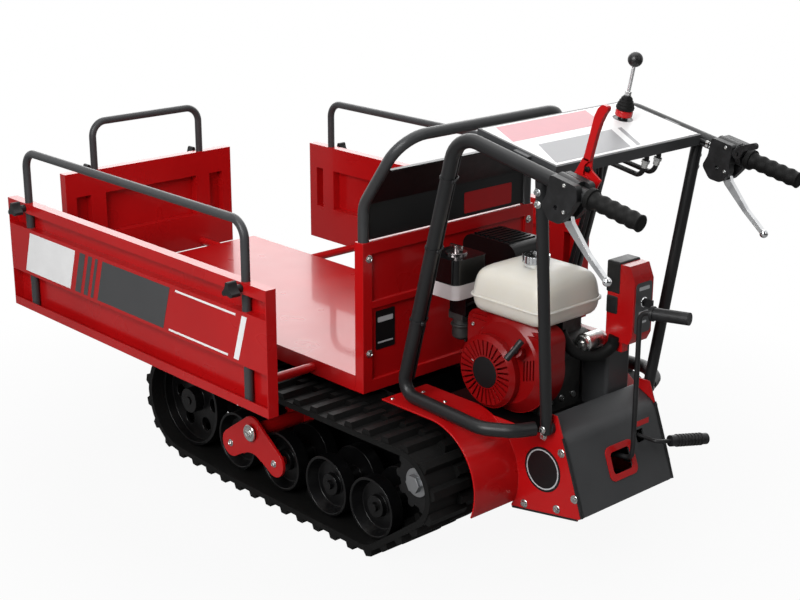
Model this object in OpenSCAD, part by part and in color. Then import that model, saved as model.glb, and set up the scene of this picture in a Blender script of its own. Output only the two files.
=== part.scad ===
// Tracked power carrier: a walk-behind mini dumper with an extending, tipping load bed.
// +X points to the front of the bed, +Y to the operator's left, +Z up, ground at Z = 0.
// Inside the modules X = 0 is the rear edge of the load deck.

/* [Load bed] */
// Length of the load deck
bed_l = 1094; // [1000:2:1200]
// Width of the load deck
bed_w = 548; // [520:2:580]
// Height of the deck's top above the ground
deck_z = 365; // [362:1:400]
// Depth of the bed rails with the deck sheet
rail_h = 38; // [36:1:41]
// Width of a bed rail
rail_w = 30; // [24:1:40]
// Thickness of the deck sheet
deck_t = 3; // [2:0.5:4]
// Wall of the slide guides under the deck
guide_wall = 3; // [2:0.5:4]

/* [Side panels] */
// Height of the panels
panel_h = 290; // [250:2:340]
// Depth of the panels' flanges
panel_t = 27; // [26:1:34]
// Thickness of the folded sheet
sheet_t = 2.5; // [1.5:0.5:4]
// Width of the front panel
front_w = 564; // [540:2:580]
// How far the side panels stand out from the deck
side_reach = 220; // [160:5:225]
// How far the front panel stands out from the deck
front_reach = 116; // [80:2:118]
// Height of the lip that folds down from the top flange
lip_h = 26; // [18:1:34]
// Height of the lip that folds up from the bottom flange
foot_h = 22; // [14:1:28]
// Height of the raised band above the panel's foot
band_low = 99; // [80:1:110]
// Height of the raised band
band_h = 124; // [90:1:135]
// Width of the ribs that the hoop legs run in
rib_w = 48; // [40:1:60]

/* [Hoops and slides] */
// Diameter of the hoop tube
hoop_d = 20; // [16:1:21]
// Height of the hoop bar's middle above the panel
hoop_rise = 132; // [90:2:180]
// Bend radius of the hoops
hoop_bend_r = 42; // [30:1:60]
// Distance of a side hoop's legs from the panel's ends
side_leg_inset = 86; // [70:1:120]
// Distance of the front hoop's legs from the panel's ends
front_leg_inset = 103; // [70:1:130]
// Diameter of the tubes that the panels slide on
slide_d = 22; // [18:1:23]
// Distance of the rear slide tubes from the deck's rear edge
slide_rear = 150; // [120:1:200]
// Distance of the front slide tubes from the deck's rear edge
slide_front = 812; // [700:2:815]
// Step between the left and the right panel's slide tubes
slide_step = 35; // [32:1:36]
// Length of slide tube that stays in its guide
slide_hold = 94; // [60:1:98]
// Distance of the front panel's slide tubes from the middle
front_slide_y = 170; // [150:1:200]
// Diameter of the clamp knobs
knob_d = 40; // [30:1:46]
// How far a clamp knob stands out from its panel
knob_out = 38; // [32:1:46]

/* [Headboard and guard] */
// Width of the square headboard posts
post_w = 28; // [24:1:32]
// Height of the headboard above the rails' underside
head_h = 351; // [310:1:380]
// Diameter of the guard tube
guard_d = 25; // [20:1:27]
// Upright length of the guard's legs
guard_up = 82; // [60:1:120]
// Height of the guard's bar above the headboard
guard_h = 250; // [220:1:290]
// Lean of the guard's upper part
guard_lean = 36; // [25:1:40]
// Bend radius of the guard's upper corners
guard_bend_r = 70; // [45:1:90]
// Height of the guard plate above the headboard
guard_plate_h = 172; // [140:1:185]

/* [Tracks] */
// Distance of a track's middle from the machine's middle
track_mid = 277; // [270:1:300]
// Width of the rubber track
track_w = 190; // [170:1:200]
// Thickness of the rubber belt
belt_t = 14; // [10:0.5:18]
// Height of the tread lugs
lug_h = 13; // [8:0.5:15]
// Length of one tread pitch, before it is shared out evenly
link_l = 60; // [50:1:80]
// Height of the guide horns inside the track
horn_h = 20; // [14:1:22]
// Thickness of the guide horns across the track
horn_w = 34; // [24:1:40]
// Gap between the wheels and the belt
wheel_gap = 1; // [0.8:0.1:2]
// Radius of the road rollers
roller_r = 72; // [66:1:74]
// Place of the rearmost road roller
roller_rear_x = -123; // [-130:1:-120]
// Distance between the two fixed road rollers
roller_step = 156; // [152:1:160]
// Place of the bogie's pivot
bogie_x = 287; // [284:1:292]
// Height of the bogie's pivot above its rollers
bogie_h = 54; // [48:1:60]
// Half the distance between the bogie's rollers
bogie_half = 85; // [80:1:86]
// How far the bogie's rollers stand off the belt so that they can rock
bogie_lift = 5.5; // [5:0.5:8]
// Radius of the front idler
idler_r = 118; // [110:1:120]
// Place of the front idler
idler_x = 568; // [566:1:590]
// Height of the front idler's axle
idler_z = 154; // [152:1:164]
// Radius of the drive sprocket's teeth
sprocket_r = 75; // [70:1:80]
// Place of the drive sprocket
sprocket_x = -258; // [-270:1:-256]
// Height of the drive sprocket's shaft
sprocket_z = 205; // [200:1:210]
// Number of teeth on the sprocket
teeth = 11; // [7:1:15]
// Diameter of the roller axles
axle_d = 20; // [16:1:24]
// Diameter of the drive shafts
shaft_d = 30; // [24:1:34]

/* [Chassis] */
// Height of the chassis beams
beam_h = 56; // [50:1:60]
// Width of the chassis beams
beam_w = 50; // [44:1:54]
// Distance of the beams' outer faces from the middle
beam_out = 145; // [140:1:146]
// Height of the beams' top
beam_top = 285; // [282:1:290]
// Thickness of the chassis plates
plate_t = 8; // [5:1:10]
// Height of the engine plate's top
engine_plate_z = 326; // [320:1:330]
// Place of the bed's tipping pivot
tip_x = 740; // [735:1:750]
// Height of the bed's tipping pivot
tip_z = 300; // [298:1:304]
// Diameter of the tipping pin
tip_d = 16; // [12:1:20]
// Radial clearance of the running fits
run_clear = 0.1; // [0.05:0.05:0.2]
// Clearance between pieces that slide or sit close
slip = 0.4; // [0.3:0.1:0.6]

/* [Lifting ram] */
// Place of the barrel's pivot
ram_x = 100; // [90:1:110]
// Height of the barrel's pivot
ram_z = 150; // [140:1:160]
// Place of the rod's eye when the bed is down
eye_x = 490; // [480:1:500]
// Height of the rod's eye when the bed is down
eye_z = 240; // [234:1:246]
// Diameter of the barrel
barrel_d = 50; // [40:1:56]
// Diameter of the rod
rod_d = 28; // [20:1:34]

/* [Rear housing] */
// Outer radius of the fenders round the sprockets
fender_r = 138; // [134:1:142]
// Outer edge of the fenders
fender_out = 287; // [270:1:300]
// Thickness of the housing sheets
skin_t = 4; // [3:0.5:5]
// Rear end of the housing at its foot
house_rear = -577; // [-590:1:-560]
// Height of the housing's foot at its rear end
house_low = 178; // [165:1:190]
// Rear end of the housing at its shoulder
shoulder_x = -516; // [-525:1:-505]
// Height of the housing's shoulder
shoulder_z = 340; // [330:1:350]

/* [Handles] */
// Diameter of the handle tubes
tube_d = 30; // [26:1:32]
// Distance of the handle tubes from the middle
handle_y = 252; // [248:1:262]
// Rear end of the grips
grip_rear = -768; // [-800:1:-750]
// Height of the handle tube at the grips' rear end
grip_z = 867; // [840:1:890]
// Fall of the handle tubes to the rear
handle_fall = 11.3; // [8:0.1:14]
// Length of the rubber grips
grip_l = 128; // [110:1:140]
// Diameter of the rubber grips
grip_d = 35; // [33:1:40]
// Front bend of the handle tubes
bend_x = -292; // [-310:1:-280]
// Radius of the handle's front bend
bend_r = 62; // [40:1:80]
// Place of the handle legs' feet
foot_x = -132; // [-150:1:-120]
// Diameter of the rear posts
post_d = 32; // [28:1:34]
// Front edge of the console
console_front = -322; // [-330:1:-318]
// Rear edge of the console
console_rear = -535; // [-545:1:-525]
// Half the console's width
console_half = 228; // [220:1:228]
// Length of the hydraulic lever's rod
lever_rod = 131; // [115:1:150]
// Largest width of the hydraulic lever's rubber boot
boot_d = 36; // [28:1:38]

/* [Engine] */
// Place of the crankshaft
crank_x = -290; // [-296:1:-284]
// Height of the crankshaft
crank_z = 424; // [418:1:430]
// Radius of the recoil starter's cover
recoil_r = 82; // [76:1:88]
// Number of cooling slots in the recoil cover
recoil_slots = 30; // [16:1:32]
// Length of the fuel tank
tank_l = 218; // [206:1:226]
// Width of the fuel tank
tank_w = 202; // [188:1:208]
// Height of the fuel tank
tank_h = 116; // [104:1:124]

/* [Hidden] */
$fn = 48;

red = "#c01018";
charcoal = "#3a3d40";
black = "#18191a";
chrome = "#c8ccd0";
cream = "#e4e0d4";
steel = "#6c7074";

// Window of the gear lever in the rear cover
gate_y = -3;
gate_z = 255;
gate_w = 64;
gate_h = 46;

// Levels and places that follow from the sizes above
rail_z = deck_z - rail_h;
half_w = bed_w / 2;
panel_top = rail_z + panel_h;
panel_in = half_w + side_reach;
panel_out = panel_in + panel_t;
front_in = bed_l + front_reach;
front_out = front_in + panel_t;
slide_z = rail_z + (rail_h - deck_t) / 2;
head_top = rail_z + head_h;
belt_out = lug_h + belt_t;
roller_z = belt_out + wheel_gap + roller_r;
bogie_z = roller_z + bogie_lift;
track_in = track_mid - track_w / 2;
wheel_in = horn_w / 2 + 11;
wheel_out = 61;
grip_dir = [-cos(handle_fall), 0, -sin(handle_fall)];
function handle_z(x) = grip_z + (x - grip_rear) * tan(handle_fall);
foot_z = sprocket_z + fender_r + tube_d / 2 + slip;
house_y = beam_out + skin_t + 2 * slip;
grip_end_r = grip_d / 2 - 5;
mid_x = (front_out + knob_out + grip_rear - grip_end_r * sin(handle_fall)) / 2;

// General helpers
function unit(v) = v / norm(v);
function between(a, b) = acos(max(-1, min(1, a * b)));

module set_on(o, x, y, z) {
    multmatrix([[x[0], y[0], z[0], o[0]], [x[1], y[1], z[1], o[1]], [x[2], y[2], z[2], o[2]], [0, 0, 0, 1]])
        children();
}

module bar(p, q, d) {
    z = unit(q - p);
    x = unit(cross(abs(z[1]) < 0.9 ? [0, 1, 0] : [1, 0, 0], z));
    set_on(p, x, cross(z, x), z) cylinder(d = d, h = norm(q - p));
}

module bend(corner, a, b, r, d) {
    turn = between(a, b);
    axis = unit(cross(a, b));
    inward = cross(axis, a);
    middle = corner - a * r * tan(turn / 2) + inward * r;
    set_on(middle, -inward, a, axis) rotate_extrude(angle = turn) translate([r, 0]) circle(d = d);
}

// Round bar through a list of points, bent with one radius for each inner point
module bent_bar(pts, radii, d) {
    last = len(pts) - 1;
    dirs = [for (i = [0:last - 1]) unit(pts[i + 1] - pts[i])];
    trims = [for (i = [0:last]) i == 0 || i == last ? 0
        : radii[i - 1] * tan(between(dirs[i - 1], dirs[i]) / 2)];
    for (i = [0:last - 1]) bar(pts[i] + dirs[i] * trims[i], pts[i + 1] - dirs[i] * trims[i + 1], d);
    for (i = [1:last - 1]) bend(pts[i], dirs[i - 1], dirs[i], radii[i - 1], d);
}

// Points and directions along a line whose corners are rounded, and a round bar swept along them
function corner_pts(corner, a, b, r) = let (turn = between(a, b), inward = cross(unit(cross(a, b)), a),
    middle = corner - a * r * tan(turn / 2) + inward * r, n = max(3, ceil(turn / 11)))
    [for (k = [0:n]) let (t = turn * k / n)
        [middle + r * (a * sin(t) - inward * cos(t)), a * cos(t) + inward * sin(t)]];
function soft_line(pts, radii) = let (last = len(pts) - 1,
    dirs = [for (i = [0:last - 1]) unit(pts[i + 1] - pts[i])])
    concat([[pts[0], dirs[0]]],
        [for (i = [1:last - 1]) each corner_pts(pts[i], dirs[i - 1], dirs[i], radii[i - 1])],
        [[pts[last], dirs[last - 1]]]);
function level(v, t) = unit(v - t * (v * t));
function rims(line, v, i = 0) = i == len(line) ? []
    : let (u = level(v, line[i][1])) concat([u], rims(line, u, i + 1));

module swept_bar(pts, radii, d, sides = 20) {
    line = soft_line(pts, radii);
    first = line[0][1];
    ups = rims(line, abs(first[1]) < 0.9 ? [0, 1, 0] : [1, 0, 0]);
    last = len(line) - 1;
    rings = [for (i = [0:last], j = [0:sides - 1])
        let (a = j * 360 / sides, u = ups[i], w = cross(line[i][1], u))
            line[i][0] + d / 2 * (u * cos(a) + w * sin(a))];
    walls = [for (i = [0:last - 1], j = [0:sides - 1]) let (k = (j + 1) % sides, a = i * sides, b = a + sides)
        each [[a + j, b + j, b + k], [a + j, b + k, a + k]]];
    caps = [[for (j = [0:sides - 1]) j], [for (j = [sides - 1:-1:0]) last * sides + j]];
    polyhedron(rings, concat(walls, caps));
}

// Sheet of thickness t whose outline lies in the XZ plane, from y to y + t
module upright(y, t) {
    translate([0, y + t, 0]) rotate([90, 0, 0]) linear_extrude(t) children();
}

module across(x, y, z, d, l) {
    translate([x, y, z]) rotate([-90, 0, 0]) cylinder(d = d, h = l);
}

module both_sides() {
    children();
    mirror([0, 1, 0]) children();
}

// Block with its upright edges rounded
module round_block(size, r) {
    translate([r, 0, 0]) cube([size[0] - 2 * r, size[1], size[2]]);
    translate([0, r, 0]) cube([size[0], size[1] - 2 * r, size[2]]);
    for (x = [r, size[0] - r], y = [r, size[1] - r]) translate([x, y, 0]) cylinder(r = r, h = size[2]);
}

// Plate shape that joins two round ends with straight sides, a hair inside their tangents
nip = 0.15;

module strap_2d(p, q, rp, rq) {
    d = q - p;
    a = atan2(d[1], d[0]);
    s = acos((rp - rq) / norm(d));
    translate(p) circle(rp);
    translate(q) circle(rq);
    polygon([for (e = [[p, rp, s], [p, rp, -s], [q, rq, -s], [q, rq, s]])
        e[0] + (e[1] - nip) * [cos(a + e[2]), sin(a + e[2])]]);
}

// Load bed
guide_d = slide_d + 2 * slip;
side_slides = [slide_rear, slide_front];
spar_y = 84;
spar_w = 22;
spar_h = 30;
eye_gap = 32;
eye_plate_t = 8;

module bed_frame() {
    color(red) difference() {
        union() {
            translate([0, -half_w, deck_z - deck_t]) cube([bed_l, bed_w, deck_t]);
            both_sides() translate([0, half_w - rail_w, rail_z]) cube([bed_l, rail_w, rail_h - deck_t]);
            for (x = [0, bed_l - rail_w])
                translate([x, -half_w, rail_z]) cube([rail_w, bed_w, rail_h - deck_t]);
            guides(guide_d + 2 * guide_wall);
            both_sides() bed_spar();
            translate([eye_x - 30, -spar_y - 1, rail_z - spar_h]) cube([60, 2 * spar_y + 2, spar_h + 6]);
            both_sides() eye_plate();
        }
        guides(guide_d, 1);
    }
}

module guides(d, over = 0) {
    reach = side_reach + slide_hold;
    for (x = side_slides) {
        across(x, half_w - reach - over, slide_z, d, reach + 2 * over);
        across(x + slide_step, -half_w - over, slide_z, d, reach + 2 * over);
    }
    for (y = [-1, 1]) translate([bed_l - slide_hold - front_reach - over, y * front_slide_y, slide_z])
        rotate([0, 90, 0]) cylinder(d = d, h = slide_hold + front_reach + 2 * over);
}

module bed_spar() {
    boss_r = tip_d / 2 + 12;
    difference() {
        union() {
            translate([rail_w / 2, spar_y, rail_z - spar_h]) cube([tip_x - rail_w / 2, spar_w, spar_h + 1]);
            across(tip_x, spar_y, tip_z, 2 * boss_r, spar_w);
            translate([tip_x - boss_r, spar_y, tip_z]) cube([2 * boss_r, spar_w, rail_z - tip_z + 6]);
            translate([bed_l - 2 * rail_w, spar_y, rail_z]) cube([rail_w + 1, spar_w, rail_h - deck_t]);
        }
        across(tip_x, spar_y - 1, tip_z, tip_d + 2 * run_clear, spar_w + 2);
    }
}

module eye_plate() {
    upright(eye_gap, eye_plate_t) difference() {
        strap_2d([eye_x, eye_z], [eye_x, rail_z - spar_h / 2], 24, 29);
        translate([eye_x, eye_z]) circle(d = tip_d + 1);
    }
}

// Folded panel of a given length, standing along +X with its outside towards +Y
module panel_sheet(l, inset) {
    legs = [inset, l - inset];
    band_top = band_low + band_h;
    inner = panel_t - 2 * sheet_t;
    difference() {
        cube([l, panel_t, panel_h]);
        for (c = [[foot_h, band_low], [band_top, panel_h - lip_h]])
            translate([sheet_t, sheet_t, c[0]]) cube([l - 2 * sheet_t, panel_t, c[1] - c[0]]);
        for (c = [[sheet_t, band_low], [band_top, panel_h - sheet_t]])
            translate([sheet_t, sheet_t, c[0]]) cube([l - 2 * sheet_t, inner, c[1] - c[0]]);
        for (w = [[2 * rib_w / 3, legs[0] - rib_w / 2], [legs[0] + rib_w / 2, legs[1] - rib_w / 2],
                [legs[1] + rib_w / 2, l - 2 * rib_w / 3]])
            translate([w[0], -1, band_low + sheet_t])
                cube([w[1] - w[0], panel_t - sheet_t + 1, band_h - 2 * sheet_t]);
        for (x = legs) {
            translate([x - hoop_d / 2 - slip, sheet_t, band_low + sheet_t])
                cube([hoop_d + 2 * slip, inner, band_h - 2 * sheet_t]);
            translate([x, panel_t / 2, sheet_t + slip]) cylinder(d = hoop_d + 2 * slip, h = panel_h);
            across(x, panel_t / 2, panel_h - lip_h / 2, knob_stem_d + 2 * slip, panel_t);
        }
    }
}

module side_panel() {
    color(red) {
        translate([0, panel_in, rail_z]) panel_sheet(bed_l - 2, side_leg_inset);
    }
}

module left_panel() {
    side_panel();
    color(red) for (x = side_slides)
        across(x, half_w - slide_hold, slide_z, slide_d, side_reach + slide_hold + 1);
}

module right_panel() {
    mirror([0, 1, 0]) side_panel();
    color(red) for (x = side_slides)
        across(x + slide_step, -panel_in - 1, slide_z, slide_d, side_reach + slide_hold + 1);
}

module front_panel() {
    color(red) {
        translate([front_in, front_w / 2, rail_z]) rotate([0, 0, -90]) panel_sheet(front_w, front_leg_inset);
        for (y = [-1, 1]) translate([bed_l - slide_hold, y * front_slide_y, slide_z])
            rotate([0, 90, 0]) cylinder(d = slide_d, h = slide_hold + front_reach + 1);
    }
}

// Hoop in a panel's own frame, with its legs at the lowest setting
module hoop(l, inset) {
    low = sheet_t + 2 * slip;
    y = panel_t / 2;
    top = panel_h + hoop_rise;
    color(charcoal) bent_bar([[inset, y, low], [inset, y, top], [l - inset, y, top], [l - inset, y, low]],
        [hoop_bend_r, hoop_bend_r], hoop_d);
}

knob_stem_d = 8;
knob_lobes = 3;

module knobs(l, inset) {
    head = knob_out * 0.62;
    tip_y = panel_t / 2 + hoop_d / 2 + slip;
    color(black) for (x = [inset, l - inset]) translate([x, 0, panel_h - lip_h / 2]) {
        across(0, tip_y, 0, knob_stem_d, panel_t + knob_out - tip_y - 1);
        across(0, panel_t + slip, 0, knob_d * 0.45, knob_out - slip);
        translate([0, panel_t + knob_out, 0]) rotate([90, 0, 0]) linear_extrude(head)
            for (i = [0:knob_lobes - 1]) rotate(90 + i * 360 / knob_lobes)
                strap_2d([0, 0], [knob_d * 0.36, 0], knob_d * 0.24, knob_d * 0.14);
    }
}

module on_left() translate([0, panel_in, rail_z]) children();
module on_right() mirror([0, 1, 0]) on_left() children();
module on_front() translate([front_in, front_w / 2, rail_z]) rotate([0, 0, -90]) children();

// Headboard: square posts, rails and a stepped sheet
module headboard() {
    rib_z = rail_z + head_h * 0.56;
    color(red) {
        both_sides() translate([-post_w, half_w - post_w, rail_z]) cube([post_w, post_w, head_h]);
        for (z = [rail_z, head_top - post_w])
            translate([-post_w, -half_w + 1, z]) cube([post_w, bed_w - 2, post_w]);
        translate([-post_w * 0.75, -half_w + 1, rail_z]) cube([sheet_t, bed_w - 2, head_h - 1]);
        translate([-post_w, -half_w + 1, rib_z]) cube([post_w * 0.5, bed_w - 2, post_w * 0.6]);
    }
}

guard_y = half_w - post_w / 2;
guard_x = -post_w / 2;
guard_dir = [-sin(guard_lean), 0, cos(guard_lean)];
guard_run = (guard_h - guard_up) / cos(guard_lean);

module guard() {
    foot = [guard_x, guard_y, head_top];
    knee = foot + [0, 0, guard_up];
    corner = knee + guard_dir * guard_run;
    far = function(p) [p[0], -p[1], p[2]];
    color(charcoal) {
        swept_bar([foot, knee, corner, far(corner), far(knee), far(foot)],
            [60, guard_bend_r, guard_bend_r, 60], guard_d);
        guard_plate();
    }
}

// Plate between the guard's legs: upright, then leaning back with a fold along its top
module guard_plate() {
    lean_l = (guard_plate_h - guard_up) / cos(guard_lean);
    half = guard_y - guard_d / 2 + 1;
    low = head_top + 2;
    knee = [guard_x, head_top + guard_up];
    top = knee + lean_l * [guard_dir[0], guard_dir[2]];
    t = [sheet_t, 0];
    upright(-half, 2 * half) polygon([[guard_x - sheet_t, low], [guard_x, low], knee, top,
        top - 14 * [1, 0], top - [14, sheet_t], top - [sheet_t, 1.5 * sheet_t], knee - t]);
}

// Track loop: circles in order round the loop, in the XZ plane, and the belt's line round them
wheels = [[roller_rear_x, roller_z, roller_r], [bogie_x + bogie_half, roller_z, roller_r],
    [idler_x, idler_z, idler_r], [sprocket_x, sprocket_z, sprocket_r]];
loop_n = len(wheels);
function wheel(i) = wheels[(i + loop_n) % loop_n];
function leave(i) = let (a = wheel(i), b = wheel(i + 1), d = [b[0] - a[0], b[1] - a[1]])
    atan2(d[1], d[0]) - 90 + asin((a[2] - b[2]) / norm(d));
function wrap(i) = (leave(i) - leave(i - 1) + 720) % 360;
function loop_pt(i, a, g) = [wheel(i)[0], wheel(i)[1]] + (wheel(i)[2] + wheel_gap + g) * [cos(a), sin(a)];
function loop_line(g) = [for (i = [0:loop_n - 1], k = [0:12]) loop_pt(i, leave(i - 1) + wrap(i) * k / 12, g)];
function arc_l(i, g) = (wheel(i)[2] + wheel_gap + g) * wrap(i) * PI / 180;
function run_l(i) = norm(loop_pt(i + 1, leave(i), 0) - loop_pt(i, leave(i), 0));
function loop_l(g, i = 0) = i == loop_n ? 0 : arc_l(i, g) + run_l(i) + loop_l(g, i + 1);

// Point and outward angle at a length s along the belt's line
function loop_at(s, g, i = 0) = s <= arc_l(i, g)
    ? let (a = leave(i - 1) + wrap(i) * s / arc_l(i, g)) [loop_pt(i, a, g), a]
    : s <= arc_l(i, g) + run_l(i)
        ? let (f = (s - arc_l(i, g)) / run_l(i), a = leave(i))
            [loop_pt(i, a, g) * (1 - f) + loop_pt(i + 1, a, g) * f, a]
        : loop_at(s - arc_l(i, g) - run_l(i), g, i + 1);

pitches = round(loop_l(belt_t) / link_l);
pitch = loop_l(belt_t) / pitches;

module on_loop(s, g, y) {
    at = loop_at(s, g);
    u = [cos(at[1]), 0, sin(at[1])];
    set_on([at[0][0], y, at[0][1]], [-u[2], 0, u[0]], [0, -1, 0], u) children();
}

module wedge(foot, top, h, w) {
    rotate([90, 0, 0]) linear_extrude(w, center = true)
        polygon([[-foot / 2, -1], [foot / 2, -1], [top / 2, h], [-top / 2, h]]);
}

module track() {
    lug_w = track_w * 0.56;
    color(black) {
        upright(track_in, track_w) difference() {
            polygon(loop_line(belt_t));
            polygon(loop_line(0));
        }
        for (i = [0:pitches - 1], side = [0, 1])
            on_loop((i + side / 2) * pitch, belt_t, track_mid + (side - 0.5) * (track_w - lug_w - 3))
                wedge(pitch * 0.5, pitch * 0.3, lug_h, lug_w);
        for (i = [0:pitches - 1])
            on_loop((i + 0.5) * loop_l(0) / pitches, 0, track_mid) mirror([0, 0, 1])
                wedge(pitch * 0.42, pitch * 0.22, horn_h, horn_w);
    }
}

// Wheels turn about Y; their own frame has the track's middle at Y = 0
module roller() {
    rim_t = 7;
    web_t = 7;
    hub_r = 26;
    color(black) rotate([-90, 0, 0]) difference() {
        union() {
            cylinder(r = hub_r, h = 2 * (wheel_in + 20), center = true);
            for (s = [0, 1]) mirror([0, 0, s]) translate([0, 0, wheel_in]) difference() {
                cylinder(r = roller_r, h = wheel_out - wheel_in);
                translate([0, 0, web_t]) cylinder(r1 = roller_r - 2.4 * rim_t, r2 = roller_r - rim_t / 2,
                    h = wheel_out - wheel_in);
                translate([0, 0, -1]) cylinder(r = hub_r - 1, h = web_t + 2);
            }
        }
        cylinder(d = axle_d + 2 * run_clear, h = 4 * wheel_out, center = true);
    }
}

module idler() {
    hub_r = 32;
    color(black) rotate([-90, 0, 0]) difference() {
        union() {
            cylinder(r = hub_r, h = 2 * wheel_out + 6, center = true);
            for (s = [0, 1]) mirror([0, 0, s]) translate([0, 0, wheel_in]) difference() {
                cylinder(r = idler_r, h = wheel_out - wheel_in);
                translate([0, 0, 9]) difference() {
                    cylinder(r = idler_r - 9, h = wheel_out);
                    cylinder(r = hub_r - 1, h = wheel_out);
                }
                for (a = [0:60:300]) rotate(a)
                    translate([(idler_r + hub_r) / 2 - 4, 0, -1]) cylinder(r = 18, h = 30);
            }
        }
        cylinder(d = axle_d + 2 * run_clear, h = 4 * wheel_out, center = true);
    }
}

gearbox_half = 80;
shaft_in = 24;

module sprocket() {
    root_r = sprocket_r * 0.84;
    color(black) {
        rotate([-90, 0, 0]) {
            cylinder(d = shaft_d * 2.2, h = 2 * wheel_out - 24, center = true);
            for (s = [-1, 1]) translate([0, 0, s * (wheel_in + 6)]) linear_extrude(11, center = true) {
                circle(root_r);
                for (i = [0:teeth - 1]) rotate(i * 360 / teeth)
                    polygon([[root_r * 0.9, -13], [sprocket_r * 0.94, -9], [sprocket_r * 0.985, -4],
                        [sprocket_r * 0.985, 4], [sprocket_r * 0.94, 9], [root_r * 0.9, 13]]);
            }
            translate([0, 0, gearbox_half - shaft_in - track_mid])
                cylinder(d = shaft_d, h = track_mid - gearbox_half + shaft_in + wheel_out - 10);
            translate([0, 0, wheel_out - 13]) cylinder(d = shaft_d * 1.4, h = 14, $fn = 6);
        }
    }
}

// Bogie: two cranked plates, the pivot sleeve and the roller axles
module bogie() {
    arm_t = 8;
    pivot_z = bogie_z + bogie_h;
    plate_y = wheel_out + 9;
    ends = [[-bogie_half, -bogie_h], [bogie_half, -bogie_h]];
    color(red) translate([bogie_x, track_mid, pivot_z]) difference() {
        union() {
            for (s = [0, 1]) mirror([0, s, 0]) upright(plate_y, arm_t) {
                for (e = ends) strap_2d([0, 0], e, 39, 34);
                difference() {
                    polygon([[0, 0], ends[0], ends[0] - [0, 12], ends[1] - [0, 12], ends[1]]);
                    translate([0, -2.1 * bogie_h]) circle(bogie_half * 0.68);
                }
            }
            across(0, -plate_y - 1, 0, axle_d + 16, 2 * plate_y + 2);
            for (e = ends) across(e[0], -plate_y - 1, e[1], axle_d, 2 * plate_y + 2);
        }
        across(0, -2 * plate_y, 0, axle_d + 2 * run_clear, 4 * plate_y);
    }
}

// Chassis: two beams, side plates with the axles, cross members, engine plate and pivots
beam_z = beam_top - beam_h;
beam_in = beam_out - beam_w;
beam_rear = -150;
beam_front = 700;
rail_plate_y = beam_out - plate_t;
axle_end = track_mid + wheel_out - 6;
// Hairline between the beams and the plates that are bolted on
joint_gap = 0.2;
bogie_axle_end = track_mid + wheel_out + 18;

// Place and outer end of each axle on one side
axles = [[roller_rear_x, roller_z, axle_end], [roller_rear_x + roller_step, roller_z, axle_end],
    [bogie_x, bogie_z + bogie_h, bogie_axle_end], [idler_x, idler_z, axle_end + 12]];

// Plate below a beam, bored for the axles
module rail_plate() {
    upright(rail_plate_y, plate_t) difference() {
        polygon([[roller_rear_x - 45, beam_z - joint_gap], [roller_rear_x - 45, roller_z - 32],
            [roller_rear_x + roller_step + 45, roller_z - 32], [bogie_x, bogie_z + bogie_h - 40],
            [idler_x, idler_z - 34], [idler_x + 40, idler_z - 20], [idler_x + 40, beam_z - joint_gap]]);
        for (a = axles) translate([a[0], a[1]]) circle(d = axle_d + 2 * run_clear);
    }
}

module axle(x, z, end) {
    inner = rail_plate_y - 4;
    across(x, inner, z, axle_d, end - inner);
}

module chassis_frame() {
    color(black) {
        both_sides() {
            translate([beam_rear, beam_out - beam_w, beam_z]) cube([beam_front - beam_rear, beam_w, beam_h]);
            rail_plate();
            for (a = axles) axle(a[0], a[1], a[2]);
            across(bogie_x, bogie_axle_end, bogie_z + bogie_h, axle_d * 1.9, 5);
            hinge_bracket();
            rear_upright();
            rest_pad();
        }
        for (x = [beam_rear, beam_front - 50])
            translate([x, -beam_in + joint_gap, beam_z]) cube([50, 2 * (beam_in - joint_gap), beam_h]);
        ram_cradle();
        engine_plate();
        across(shift_x, -beam_out + 1, shift_z, shift_d, 2 * beam_out - 2);
        range_bearing();
        across(tip_x, -spar_y - spar_w - 2 * plate_t, tip_z, tip_d, 2 * (spar_y + spar_w + 2 * plate_t));
    }
}

module hinge_bracket() {
    y = spar_y + spar_w + slip;
    r = tip_d / 2 + 12;
    upright(y, plate_t) difference() {
        strap_2d([tip_x, tip_z], [beam_front - 50, beam_top - 20], r, 20);
        translate([tip_x, tip_z]) circle(d = tip_d + 2 * run_clear);
    }
}

// Pad that the bed's spar comes down on
module rest_pad() {
    translate([ram_x - 40, beam_out - beam_w, beam_top - 1])
        cube([50, spar_y + spar_w - beam_out + beam_w, rail_z - spar_h - slip - beam_top + 1]);
}

// Plates that carry the engine plate from the beams, with the drive shafts' bearings
module rear_upright() {
    plate_low = engine_plate_z - plate_t + 1;
    translate([beam_rear - 30, beam_out - beam_w, beam_z]) cube([30 - joint_gap, beam_w, plate_low - beam_z]);
    upright(beam_out - plate_t, plate_t) difference() {
        polygon([[beam_rear - 29, plate_low], [shoulder_x + 60, plate_low], [shoulder_x + 20, house_low + 30],
            [sprocket_x - 60, sprocket_z - 60], [sprocket_x + 40, sprocket_z - 60], [beam_rear - 29, beam_z]]);
        translate([sprocket_x, sprocket_z]) circle(d = shaft_d + 2 * run_clear);
    }
}

module engine_plate() {
    difference() {
        translate([shoulder_x + 58, -beam_out, engine_plate_z - plate_t])
            cube([beam_rear - shoulder_x - 58, 2 * beam_out, plate_t]);
        mirror([0, 1, 0]) belt_slot();
    }
}

// Cross rod that the gear lever turns on, and the range lever's bearing under the engine plate
shift_x = -470;
shift_z = gate_z - 4;
shift_d = 14;
range_y = -79;
range_z = gate_z + 32;
range_d = 10;

module range_bearing() {
    difference() {
        translate([shoulder_x + 60, range_y - 16, range_z - 16])
            cube([20, 32, engine_plate_z - plate_t + 1 - range_z + 16]);
        translate([shoulder_x, range_y, range_z]) rotate([0, 90, 0])
            cylinder(d = range_d + 2 * run_clear, h = 120);
    }
}

// Way for the drive belt under its cover
module belt_slot() {
    translate([crank_x - 35, beam_out - 44, engine_plate_z - plate_t - 1]) cube([70, 22, plate_t + 2]);
}

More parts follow.
